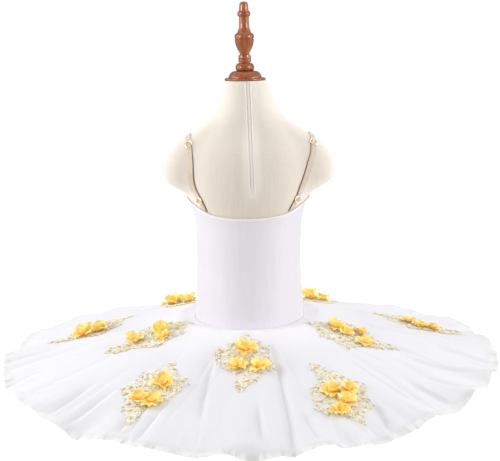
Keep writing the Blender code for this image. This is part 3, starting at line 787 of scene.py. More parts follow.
@dataclass(frozen=True, kw_only=True)
class PetalFinish(Finish):
    """Crisp organza, deep orange in the flower's throat and pale at its edge."""

    name: str = "flower_organza"
    throat: Colour = (0.98, 0.54, 0.06)
    middle: Colour = (0.97, 0.745, 0.16)
    edge: Colour = (0.98, 0.87, 0.42)

    def sockets(self, wires: Wiring, shared: SharedEffects) -> Sockets:
        """Wire the petal's change of colour along it, and a painted glow.

        Args:
            wires: the material's wiring.
            shared: the common node groups.

        Returns:
            What feeds the shader, by the names of its inputs.
        """
        cloud = wires.group(shared.cloud, across=130.0, upward=130.0)
        wobble = wires.stretch(cloud, 0.3, 0.7, -0.18, 0.18)
        along = wires.math("ADD", wires.on_map()[1], wobble)
        inner = wires.blend(wires.stretch(along, 0.05, 0.5), self.throat, self.middle)
        colour = wires.blend(wires.stretch(along, 0.6, 1.05), inner, self.edge)
        return {
            "Base Color": colour,
            "Normal": wires.bump(wires.group(shared.weave, across=90.0, along=90.0), 0.3, 0.1),
            # the emission is a painted glow standing in for light shining through the organza
            "Emission Color": colour, "Emission Strength": 0.10, "Roughness": 0.45,
            "Sheen Weight": 0.2, "Specular IOR Level": 0.35,
        }


@dataclass(frozen=True, kw_only=True)
class WoodFinish(Finish):
    """Varnished red-brown wood with its grain along the turning."""

    name: str = "varnished_wood"
    light: Colour = (0.52, 0.16, 0.05)
    dark: Colour = (0.30, 0.07, 0.02)
    # colour of a painted dark reflection where the wood is seen edge on
    edge: Colour = (0.05, 0.012, 0.006)

    def sockets(self, wires: Wiring, shared: SharedEffects) -> Sockets:
        """Wire the broad and the fine grain, and a painted dark reflection seen edge on.

        Args:
            wires: the material's wiring.
            shared: the common node groups.

        Returns:
            What feeds the shader, by the names of its inputs.
        """
        broad = wires.stretch(wires.group(shared.cloud, across=190.0, upward=11.0), 0.32, 0.68)
        fine = wires.stretch(wires.group(shared.cloud, across=900.0, upward=40.0), 0.35, 0.65)
        share = wires.math("ADD", wires.times(broad, 0.75), wires.times(fine, 0.25))
        return {
            "Base Color": wires.blend(wires.stretch(wires.facing(), 0.4, 0.85),
                                      wires.blend(share, self.dark, self.light), self.edge),
            "Normal": wires.bump(fine, 0.25, 0.1),
            "Roughness": wires.between(share, 0.42, 0.3),
            "Coat Weight": 0.5, "Coat Roughness": 0.16, "Coat IOR": 1.35,
            "Specular IOR Level": 0.2,
        }


@dataclass(frozen=True, kw_only=True)
class MetalFinish(Finish):
    """Polished gilt fittings with slightly worn patches."""

    name: str = "gilt_fitting"
    light: Colour = (0.98, 0.88, 0.68)
    worn: Colour = (0.84, 0.70, 0.46)
    roughness: float = 0.18

    def sockets(self, wires: Wiring, shared: SharedEffects) -> Sockets:
        """Wire the worn patches."""
        share = wires.stretch(wires.group(shared.cloud, across=420.0, upward=420.0), 0.42, 0.62)
        return {
            "Base Color": wires.blend(share, self.worn, self.light),
            "Roughness": wires.between(share, self.roughness + 0.2, self.roughness),
            "Metallic": 1.0,
        }


@dataclass(frozen=True, kw_only=True)
class FloorFinish(Finish):
    """A white studio floor that burns out to the camera, with soft shadows left in it."""

    name: str = "studio_floor"
    white: float = 0.88
    glow: float = 0.7

    def sockets(self, wires: Wiring, shared: SharedEffects) -> Sockets:
        """Wire the floor's tone, and a glow that only the camera sees."""
        cloud = wires.group(shared.cloud, across=4.0, upward=4.0)
        return {
            "Base Color": wires.between(cloud, self.white - 0.02, self.white),
            "Emission Strength": wires.times(wires.add("LightPath").outputs["Is Camera Ray"],
                                             self.glow),
            "Emission Color": (1.0, 1.0, 1.0, 1.0), "Roughness": 0.9,
            "Specular IOR Level": 0.1,
        }


class Palette:
    """Every finish of the garment, the form and its stand."""

    def __init__(self) -> None:
        """Build the materials."""
        shared = SharedEffects()
        # the cover's lighter edge colour is a painted highlight where it is seen edge on
        self.cover = CoverFinish(
            name="form_cover_knit", light=(0.85, 0.77, 0.68), dark=(0.80, 0.715, 0.62),
            edge=(0.91, 0.84, 0.765), across=420.0, upward=12.0, wales=560.0, courses=420.0,
            relief=0.15, roughness=0.82, sheen=0.25).build(shared)
        self.zip_cloth = ZipFinish().build(shared)
        # the bodice's darker edge colour is painted shade where it is seen edge on
        self.stretch = KnitFinish(
            name="bodice_stretch_cloth", light=(0.932, 0.892, 0.962),
            dark=(0.902, 0.86, 0.932), edge=(0.815, 0.788, 0.84), painted_rim_span=(0.02, 0.5),
            across=170.0, upward=5.0, wales=160.0, courses=420.0, relief=0.08,
            roughness=0.55, sheen=0.35).build(shared)
        self.binding = KnitFinish(
            name="binding_satin", light=(0.97, 0.93, 0.94), dark=(0.94, 0.895, 0.905),
            edge=(0.95, 0.91, 0.92), across=500.0, upward=500.0, wales=900.0, courses=10.0,
            relief=0.1, roughness=0.45, sheen=0.3).build(shared)
        self.top_net = NetFinish(
            name="sheer_net", painted_waist_light=(0.955, 0.945, 0.975), light=(0.86, 0.853, 0.89),
            dark=(0.835, 0.828, 0.865), rim=(0.79, 0.793, 0.795),
            painted_fold_shade=(0.62, 0.625, 0.63), crease_shade=0.16, sheer=0.92, solid_at=0.96,
            sheer_at=0.99, rim_at=0.966).build(shared)
        self.under_net = NetFinish(
            name="pressed_net", painted_waist_light=(0.93, 0.92, 0.95), light=(0.90, 0.893, 0.925),
            dark=(0.87, 0.863, 0.895), rim=(0.86, 0.855, 0.88),
            painted_fold_shade=(0.78, 0.775, 0.80), crease_shade=0.15, sheer=0.85, solid_at=0.95,
            sheer_at=0.985, rim_at=0.98).build(shared)
        self.lace = ThreadFinish().build(shared)
        self.lace_ground = KnitFinish(
            name="lace_ground_net", light=(1.0, 0.97, 0.915), dark=(1.0, 0.94, 0.84),
            edge=(1.0, 0.97, 0.915), across=260.0, upward=260.0, wales=900.0,
            courses=900.0, relief=0.1, roughness=0.7, sheen=0.7).build(shared)
        self.petal = PetalFinish().build(shared)
        satin = KnitFinish(
            name="strap_satin_elastic", light=(0.77, 0.655, 0.53), dark=(0.66, 0.54, 0.42),
            edge=(0.74, 0.66, 0.55), across=600.0, upward=200.0, wales=12.0, courses=260.0,
            relief=0.12, roughness=0.4, sheen=0.4)
        self.satin = satin.build(shared)
        # the strap's folded-back layer, dark brown as painted shadow along the strap's inner edge
        self.strap_shadow = replace(
            satin, name="strap_painted_shadow", light=(0.30, 0.20, 0.13), dark=(0.22, 0.14, 0.08),
            edge=(0.30, 0.20, 0.13), roughness=0.6, sheen=0.1).build(shared)
        self.gilt = MetalFinish().build(shared)
        self.wood = WoodFinish().build(shared)
        self.floor = FloorFinish().build(shared)


# ------------------------------------------------------------------ studio

@dataclass
class Studio:
    """Camera, lights, pale floor and white surroundings."""

    palette: Palette
    lens: float = 76.6
    sensor: float = 36.0
    # in metres, as every place and size of the studio
    camera_at: Size = (0.0035, -1.857, 1.182)
    pitch: float = 11.01
    roll: float = 1.1
    floor_radius: float = 9.0
    floor_sides: int = 96
    # strength of the white surroundings as a light
    ambient: float = 0.60
    # name, place, target, size, power
    lamps: tuple[tuple[str, Vector, Vector, float, float], ...] = (
        ("left_window", Vector((-2.5, -0.1, 1.5)), Vector((0.0, 0.0, 0.85)), 1.6, 38.0),
        ("right_window", Vector((2.5, -0.25, 1.4)), Vector((0.0, 0.0, 0.9)), 1.6, 32.0),
        ("overhead", Vector((0.0, 0.2, 3.2)), Vector((0.0, 0.0, 0.6)), 2.2, 15.0),
    )
    # strip lights that only show as highlights on varnish and metal
    glints: tuple[tuple[str, Vector, Vector, float, float], ...] = (
        ("left_strip", Vector((-1.9, -1.2, 1.7)), Vector((0.0, 0.0, 1.1)), 0.5, 50.0),
        ("right_strip", Vector((1.9, -1.2, 1.7)), Vector((0.0, 0.0, 1.1)), 0.5, 50.0),
    )

    def build(self) -> None:
        """Make the studio."""
        self.add_camera()
        for lamp in self.lamps:
            self.add_lamp(*lamp)
        for glint in self.glints:
            self.add_lamp(*glint).visible_diffuse = False
        self.add_surroundings()
        self.add_floor()

    def add_camera(self) -> None:
        """Place the camera and make it the scene's."""
        data = bpy.data.cameras.new("camera")
        data.lens = self.lens
        data.sensor_width = self.sensor
        camera = add_object("camera", data)
        camera.matrix_world = (
            Matrix.Translation(self.camera_at)
            @ Matrix.Rotation(math.radians(90.0 - self.pitch), 4, "X")
            @ Matrix.Rotation(math.radians(-self.roll), 4, "Z")
        )
        bpy.context.scene.camera = camera

    def add_lamp(self, name: str, place: Vector, target: Vector, size: float,
                 power: float) -> Object:
        """Add one soft square light.

        Args:
            name: its name.
            place: where it stands, in metres.
            target: what it points at.
            size: its side, in metres.
            power: its power in watts.

        Returns:
            The lamp.
        """
        data = bpy.data.lights.new(name, "AREA")
        data.shape = "SQUARE"
        data.size = size
        data.energy = power
        lamp = add_object(name, data)
        lamp.location = place
        lamp.rotation_euler = (target - place).to_track_quat("-Z", "Y").to_euler()
        return lamp

    def add_surroundings(self) -> None:
        """White all round, dimmer as a light than as a background."""
        scene = bpy.context.scene
        scene.view_settings.view_transform = "Standard"
        world = bpy.data.worlds.new("surroundings")
        world.use_nodes = True
        scene.world = world
        wires = Wiring(world.node_tree)
        back = world.node_tree.nodes["Background"]
        seen = wires.add("LightPath").outputs["Is Camera Ray"]
        wires.fill(back, {0: (1.0, 1.0, 1.0, 1.0), 1: wires.between(seen, self.ambient, 1.0)})

    def add_floor(self) -> None:
        """Lay a wide pale floor under the stand."""
        bm = new_mesh()
        bmesh.ops.create_circle(bm, cap_ends=True, segments=self.floor_sides,
                                radius=self.floor_radius)
        add_mesh("floor", bm, self.palette.floor)
        LOG.info("floor")


# ------------------------------------------------------------------ the form

@dataclass
class BodyShape:
    """The form's surface, which the bodice, yoke and straps follow."""

    # shares of the half width at which an arm stub starts and over which it swells
    arm_starts: float = 0.866
    arm_swell: Span = (0.70, 0.90)
    softness: float = 5.0
    # height, half_width, half_depth, trunk, arm_depth, forward, aside
    sections: Table = (
        (-56, 86, 74, 86, 0, 0, 0), (-50, 98, 85, 98, 0, 0, 0), (-36, 105, 92, 105, 0, 0, 0),
        (0, 107, 94, 107, 0, 0, 0), (30, 103.5, 91.5, 103.5, 0, 0, 0),
        (60, 97.5, 87.5, 97.5, 0, 0, 0), (80, 95.8, 85.5, 95.8, 0, 0, 0),
        (97, 95, 84, 95, 0, 0, 0), (118, 94, 82, 94, 0, 0, 0), (140, 92.6, 79, 92.6, 0, 0, 0),
        (170, 91.6, 77, 91.6, 0, 0, 0.3), (205, 92, 77, 92, 0, 0, 0.8),
        (240, 93.6, 79, 93.6, 0, 1, 1.6), (258, 96.6, 81, 96.6, 0, 1.5, 1.9),
        (269, 100.3, 82, 100.3, 0, 2, 2.1), (280, 105, 83, 104, 0, 2.5, 2.3),
        (290, 112.5, 84, 106.8, 20, 3, 2.5), (300, 130.5, 84.5, 108.8, 29, 3.5, 2.7),
        (311, 146.5, 85, 109.9, 35, 4, 2.8), (325, 151.5, 85, 110.4, 38, 4, 2.9),
        (343, 150, 83, 109.4, 38, 4.5, 3.1), (358, 143.5, 79, 106.4, 35, 5, 3.4),
        (371, 133.5, 73, 100.4, 31, 5.5, 3.9), (384, 118.5, 65, 92.4, 28, 6, 4.3),
        (396, 101.5, 58, 83, 26, 6.5, 4.3), (407, 82.5, 53.5, 73, 25, 7, 3.8),
        (418, 66, 51, 65, 22, 7.5, 3.2), (429, 56, 49, 56, 0, 8, 2.7),
        (447, 47.5, 45.5, 47.5, 0, 8, 2.1), (465, 42.9, 42.3, 42.9, 0, 8, 1.5),
        (485.3, 37.5, 37.7, 37.5, 0, 8, 1),
    )

    def point(self, height: float, turn: float, out: float = 0.0) -> Vector:
        """A point of the surface.

        Args:
            height: millimetres above the rim level.
            turn: angle about the vertical.
            out: millimetres outward from the surface.

        Returns:
            The point in millimetres.
        """
        width, depth, trunk, arm_depth, forward, aside = smooth_interpolate(self.sections, height)
        side, back = math.sin(math.radians(turn)), math.cos(math.radians(turn))
        stub = max(0.0, (abs(side) - self.arm_starts) / (1.0 - self.arm_starts))
        across = trunk * side + math.copysign(max(0.0, width - trunk) * stub ** 2, side)
        arm = max(0.0, arm_depth) * math.sqrt(max(0.0, 1.0 - stub ** 4))
        arm *= fade(abs(side), *self.arm_swell)
        power = self.softness
        reach = ((depth * abs(back)) ** power + arm ** power) ** (1.0 / power)
        normal = Vector((side / trunk, -back / depth, 0.0)).normalized()
        place = Vector((across + aside, forward - math.copysign(reach, back), RIM_LEVEL + height))
        return place + normal * out


@dataclass
class DressForm:
    """Padded torso with its knitted cover, and the zip in its back."""

    palette: Palette
    shape: BodyShape
    low: float = -56.0
    high: float = 485.3
    columns: int = 120
    rows: int = 130
    placket_at: float = 17.0
    placket_half: float = 4.5
    placket_rise: float = 1.0
    placket_ends: Span = (272.0, 400.0)
    # above its lower end: where it has its full rise, and from where it dies away
    placket_fades: Span = (22.0, 60.0)
    # the part of the shoulders that is smoothed: distance from the middle, height, passes
    smooth_across: Span = (30.0, 112.0)
    smooth_heights: Span = (300.0, 420.0)
    smooth_passes: int = 22
    bottom_inset: float = 12.0
    zip_middles: Span = (9.3, 4.6)
    zip_half: float = 6.5
    zip_ends: Span = (292.0, 484.5)
    zip_wall: float = 0.25
    # the tape's relief: its least rise, its coil and the lips beside it
    tape_rise: float = 0.2
    coil_half: float = 1.9
    coil_rise: float = 0.8
    lip_at: float = 3.7
    lip_half: float = 1.1
    lip_rise: float = 0.75
    tape_edge: Span = (6.5, 4.6)
    # how far up the tape lies flat at its lower end
    tape_start: float = 16.0
    tape_ease: float = 1.07

    def cover_point(self, turn_share: float, height_share: float) -> Vector:
        """A point of the cover, with the ridge beside the zip.

        Args:
            turn_share: share of a round from the front.
            height_share: share of the torso's height.

        Returns:
            The point in millimetres.
        """
        turn = turn_at(turn_share)
        height = self.low + (self.high - self.low) * height_share
        point = self.shape.point(height, turn)
        if point.y < 0.0:
            away = (point.x - self.placket_at) / self.placket_half
            low, high = self.placket_ends
            rising, falling = self.placket_fades
            run = fade(height, low, low + rising) * fade(height, high, low + falling)
            point.y -= self.placket_rise * run * math.exp(-away * away)
        return point

    def build(self) -> Object:
        """Make the torso and the zip.

        Returns:
            The torso, on which the straps are laid.
        """
        bm = mapped_grid(self.columns, self.rows, self.cover_point, wrap=True)
        near, far = self.smooth_across
        low, high = self.smooth_heights
        ridge = [vert for vert in bm.verts
                 if near < abs(vert.co.x) / MM < far
                 and low < vert.co.z / MM - RIM_LEVEL < high]
        for _ in range(self.smooth_passes):
            bmesh.ops.smooth_vert(bm, verts=ridge, factor=0.5, use_axis_x=True,
                                  use_axis_y=True, use_axis_z=True)
        close_ends(bm)
        ends = [face for face in bm.faces if len(face.verts) > 4]
        bmesh.ops.inset_individual(bm, faces=ends, thickness=self.bottom_inset * MM, depth=0.0)
        torso = make_piece("torso_cover", bm, self.palette.cover, Slot.FORM, ["form_torso"])
        self.build_zip(search_tree(torso))
        return torso

    def on_back(self, tree: BVHTree, across: float, height: float, lift: float) -> Vector:
        """A point on the torso's back.

        Args:
            tree: the torso's search tree.
            across: millimetres to the right of the middle.
            height: millimetres above the rim level.
            lift: millimetres off the surface.

        Returns:
            The point in millimetres.
        """
        start = Vector((across, -400.0, RIM_LEVEL + height)) * MM
        hit = tree.ray_cast(start, Vector((0.0, 1.0, 0.0)))[0]
        return hit / MM - Vector((0.0, lift, 0.0))

    def zip_relief(self, across: float) -> float:
        """Height of the zip's tape: a covered coil between two grooves.

        Args:
            across: millimetres from the tape's middle.

        Returns:
            The rise in millimetres.
        """
        coil = self.coil_rise * math.exp(-(across / self.coil_half) ** 4)
        lips = self.lip_rise * math.exp(-((abs(across) - self.lip_at) / self.lip_half) ** 2)
        edge = fade(abs(across), *self.tape_edge)
        return self.tape_rise + (self.tape_rise + coil + lips) * edge

    def build_zip(self, tree: BVHTree) -> None:
        """Make the tape of the concealed zip.

        Args:
            tree: the torso's search tree.
        """
        low, high = self.zip_ends
        first, last = self.zip_middles

        def place(across: float, along: float) -> Vector:
            """A point of the tape."""
            offset = (across * 2.0 - 1.0) * self.zip_half
            height = low + (high - low) * along
            close = fade(height, low, low + self.tape_start)
            lift = self.zip_relief(offset) * close + self.zip_wall * (1.0 - close)
            return self.on_back(tree, first + (last - first) * along + offset, height, lift)

        bm = mapped_grid(52, 96, place)
        tape = make_piece("form_zip_tapes", bm, self.palette.zip_cloth, Slot.FORM,
                          ["form_zip_tape"], wall=-self.zip_wall)


@dataclass
class TurnedStand:
    """Neck cap, finial, pole and base, turned from wood."""

    palette: Palette
    sides: int = 72
    neck_forward: float = 8.0
    # height, radius
    cap: Table = (
        (485.6, 0), (485.6, 34.9), (486.2, 35.5), (488.6, 35.5), (489.2, 34.9), (490, 29),
        (492, 28.6), (495, 27.3), (498, 25.3), (500, 22.8), (501, 20), (501.5, 18), (501.5, 0),
    )
    finial: Table = (
        (501.8, 0), (501.8, 14), (503, 15.3), (505.2, 16.2), (508, 16.3), (511, 15.5),
        (513.4, 13.6), (514.8, 11.8), (515, 9.6), (516.4, 9.6), (516.6, 10.8), (519, 11.2),
        (521.6, 11), (522.2, 10), (522.8, 10.9), (526, 10.9), (528.6, 10.2), (529.2, 8.2),
        (531.2, 8.2), (534.4, 9.9), (539, 12.3), (545, 14.8), (551, 16.2), (555.4, 16.6),
        (555.8, 15.7), (557, 15.7), (557.4, 16.6), (560.4, 16.9), (563.4, 16.1), (565.2, 14.7),
        (566, 12.8), (567, 12), (569.4, 11), (573, 9.6), (577, 8.8), (586, 8.4), (593.4, 8.4),
        (594, 9.4), (595.8, 10.8), (598, 11.3), (600.4, 11.1), (602.6, 9.8), (603.4, 8.4),
        (605.5, 8.2), (609, 7.9), (614, 7.5), (616.4, 6.9), (618.2, 5), (619, 2.6), (619.2, 0),
    )
    # heights from the floor
    pole: Table = ((46.3, 0), (46.3, 12.5), (543.7, 12.5), (543.7, 0))
    base: Table = (
        (0, 0), (0, 145.4), (0.8, 146.6), (3, 149.4), (5, 150), (10.4, 150), (12.6, 149.4),
        (15.4, 146.6), (17, 143.6), (19.6, 134), (21.2, 124), (22.6, 100), (24, 66), (26, 48),
        (30, 34), (35, 27.4), (40, 24), (44, 21.2), (46, 19.4), (46, 0),
    )

    def turn(self, name: str, profile: Table, forward: float, rise: float, node: str) -> None:
        """Turn one piece on the lathe.

        Args:
            name: the piece's name.
            profile: heights and radii.
            forward: how far forward its axis is.
            rise: added to the heights.
            node: the solid that it stands for.
        """
        bm = new_mesh()
        points = [bm.verts.new(Vector((radius, 0.0, height + rise)) * MM)
                  for height, radius in profile]
        for pair in zip(points, points[1:]):
            bm.edges.new(pair)
        spin_round(bm, self.sides)
        bmesh.ops.translate(bm, vec=(0.0, forward * MM, 0.0), verts=bm.verts)
        make_piece(name, bm, self.palette.wood, Slot.WOOD, [node])

    def build(self) -> None:
        """Turn all four pieces."""
        forward = self.neck_forward
        self.turn("turned_neck_cap", self.cap, forward, RIM_LEVEL, "neck_cap")
        self.turn("turned_finial", self.finial, forward, RIM_LEVEL, "finial")
        self.turn("turned_pole", self.pole, 0.0, 0.0, "stand_pole")
        self.turn("turned_base", self.base, 0.0, 0.0, "stand_base")


# ------------------------------------------------------------------ the bodice

@dataclass
class Bodice:
    """Five stretch panels, the binding round their top edge and the yoke below."""

    palette: Palette
    shape: BodyShape
    ease: float = 0.9
    wall: float = 1.2
    bottom: float = 57.0
    binding_height: float = 5.0
    column_turn: float = 1.25
    panel_rows: int = 90
    # how far a panel runs up under the binding, and how deep and wide its seams are
    overlap: float = 0.6
    tuck: float = 0.04
    tuck_turn: float = 0.6
    # for the flat sizes: the girth's half width and half depth, and the ease of a panel
    girth: Span = (94.0, 80.0)
    cut_ease: float = 1.03
    # flat sizes in metres
    binding_cut: Span = (0.012, 0.62)
    yoke_cut: Span = (0.64, 0.080)
    # rise, pace round, height of a bump, pattern
    wrinkles: Table = ((0.22, 16, 90, 1), (0.10, 42, 40, 2))
    # under the binding and over the waist seam: rise, pace round, how soon it dies away
    drawn_up: Size = (0.9, 55.0, 16.0)
    drawn_down: Size = (0.5, 30.0, 12.0)
    # width, depth and thickness of a stitch, half the turn between its ends
    stitch: Size = (1.9, 0.3, 0.35)
    stitch_swing: float = 0.6
    stitch_drop: float = 1.1
    stitches: int = 200
    # the yoke's leg line, and how much higher it is at the sides than in front
    leg_line: float = -18.0
    leg_swing: float = 14.0
    # turn, height
    top_edge: Table = (
        (0, 256), (20, 257), (40, 261), (50, 266.5), (60, 271.5), (80, 281.5), (90, 284),
        (100, 285), (120, 290), (140, 305), (152, 314), (165, 309), (180, 302),
    )
    # node, first_turn, last_turn
    panels: tuple[tuple[str, float, float], ...] = (
        ("bodice_back_left", -50.0, 0.0), ("bodice_back_right", 0.0, 50.0),
        ("bodice_side_right", 50.0, 110.0), ("bodice_front", 110.0, 250.0),
        ("bodice_side_left", 250.0, 310.0),
    )
    # turn where gathers are drawn up under the binding, half_spread
    gathers: Table = ((-58, 16), (-40, 10), (42, 11), (60, 16), (150, 12), (-150, 12))

    def top(self, turn: float) -> float:
        """Height of the finished top edge."""
        return smooth_interpolate(self.top_edge, abs(folded_turn(turn)))[0]

    def relief(self, turn: float, height: float) -> float:
        """Wrinkles of the stretched cloth, in millimetres outward.

        Args:
            turn: angle about the vertical.
            height: millimetres above the rim level.

        Returns:
            The rise of the cloth.
        """
        rise = sum(amount * ring_noise(turn, pace, height / tall, pattern)
                   for amount, pace, tall, pattern in self.wrinkles)
        below = self.top(turn) - height
        amount, pace, fall = self.drawn_up
        for centre, spread in self.gathers:
            near = max(0.0, 1.0 - abs(folded_turn(turn - centre)) / spread)
            drawn = math.exp(-max(0.0, below - 4.0) / fall)
            rise += amount * near * drawn * ring_noise(turn, pace, below / 60.0, centre)
        amount, pace, fall = self.drawn_down
        low = math.exp(-max(0.0, height - self.bottom) / fall)
        return rise + amount * low * ring_noise(turn, pace, 0.0, 5.0)

    def build(self) -> None:
        """Make the panels, the binding and the yoke."""
        for node, first, last in self.panels:
            self.build_panel(node, first, last)
        self.build_binding()
        self.build_stitches()
        self.build_yoke()

    def build_panel(self, node: str, first: float, last: float) -> None:
        """Make one cut panel.

        Args:
            node: the solid that it stands for.
            first: turn of its first edge.
            last: turn of its last edge.
        """
        def place(across: float, along: float) -> Vector:
            """A point of the panel."""
            turn = first + (last - first) * across
            top = self.top(turn) - self.binding_height + self.overlap
            height = self.bottom + (top - self.bottom) * along
            edge = min(across, 1.0 - across) * (last - first)
            tuck = self.tuck * math.exp(-edge / self.tuck_turn)
            return self.shape.point(height, turn, self.ease + self.relief(turn, height) - tuck)

        columns = round((last - first) / self.column_turn)
        bm = mapped_grid(columns, self.panel_rows, place)
        word = node.replace("bodice_", "") + "_panel"
        panel = make_piece(word, bm, self.palette.stretch, Slot.BODICE, [node], wall=self.wall)
        middle = 0.5 * (first + last)
        height = (self.top(middle) - self.bottom - self.binding_height) * MM
        width = math.radians(last - first) * 0.5 * sum(self.girth) * MM

    def build_binding(self) -> None:
        """Make the rounded binding round the top edge."""
        high = self.binding_height
        # out of the surface, below the top edge
        section = (
            (0.7, high), (2.3, high), (3.0, high - 0.7), (3.15, 0.5 * high), (3.0, 1.1),
            (2.4, 0.3), (1.6, 0.0), (0.9, 0.4), (0.7, 1.2), (0.7, 0.5 * high),
        )

        def place(around: float, ring: float) -> Vector:
            """A point of the binding."""
            turn = turn_at(around)
            out, below = section[round(ring * len(section)) % len(section)]
            ripple = 0.18 * ring_noise(turn, 40.0, ring * 2.0, 8.0)
            return self.shape.point(self.top(turn) - below, turn, out + 0.2 + ripple)

        bm = mapped_grid(288, len(section), place, wrap=True)
        bmesh.ops.recalc_face_normals(bm, faces=bm.faces)
        binding = make_piece("top_binding", bm, self.palette.binding, Slot.BINDING,
                             ["bodice_binding"], crease=70.0)

    def build_stitches(self) -> None:
        """Sew a row of small stitches below the binding."""
        bm = new_mesh()
        size = Matrix.Diagonal((*(side * MM for side in self.stitch), 1.0))
        for number in range(self.stitches):
            turn = turn_at((number + 0.5) / self.stitches)
            height = self.top(turn) - self.binding_height - self.stitch_drop
            lift = self.ease + self.wall + 0.05 + self.relief(turn, height)
            start, end = (self.shape.point(height, turn + swing, lift)
                          for swing in (-self.stitch_swing, self.stitch_swing))
            turned = (end - start).normalized().to_track_quat("X", "Z").to_matrix().to_4x4()
            middle = Matrix.Translation(0.5 * (start + end) * MM)
            bmesh.ops.create_cube(bm, size=1.0, matrix=middle @ turned @ size)
        make_piece("edge_stitches", bm, self.palette.binding, Slot.BINDING)

    def build_yoke(self) -> None:
        """Make the knickers' yoke with its high leg line."""
        def place(around: float, along: float) -> Vector:
            """A point of the yoke."""
            turn = turn_at(around)
            leg = self.leg_line - self.leg_swing * math.cos(math.radians(2.0 * turn))
            height = leg + (self.bottom - 0.3 - leg) * along
            rise = 0.3 * ring_noise(turn, 18.0, height / 30.0, 3.0)
            hem = math.exp(-((height - leg - 3.0) / 2.2) ** 2)
            return self.shape.point(height, turn, self.ease + rise + 0.6 * hem)

        bm = mapped_grid(192, 30, place, wrap=True)
        yoke = make_piece("knicker_yoke", bm, self.palette.stretch, Slot.BODICE,
                          ["knickers_yoke"], wall=self.wall)


# ------------------------------------------------------------------ the skirt

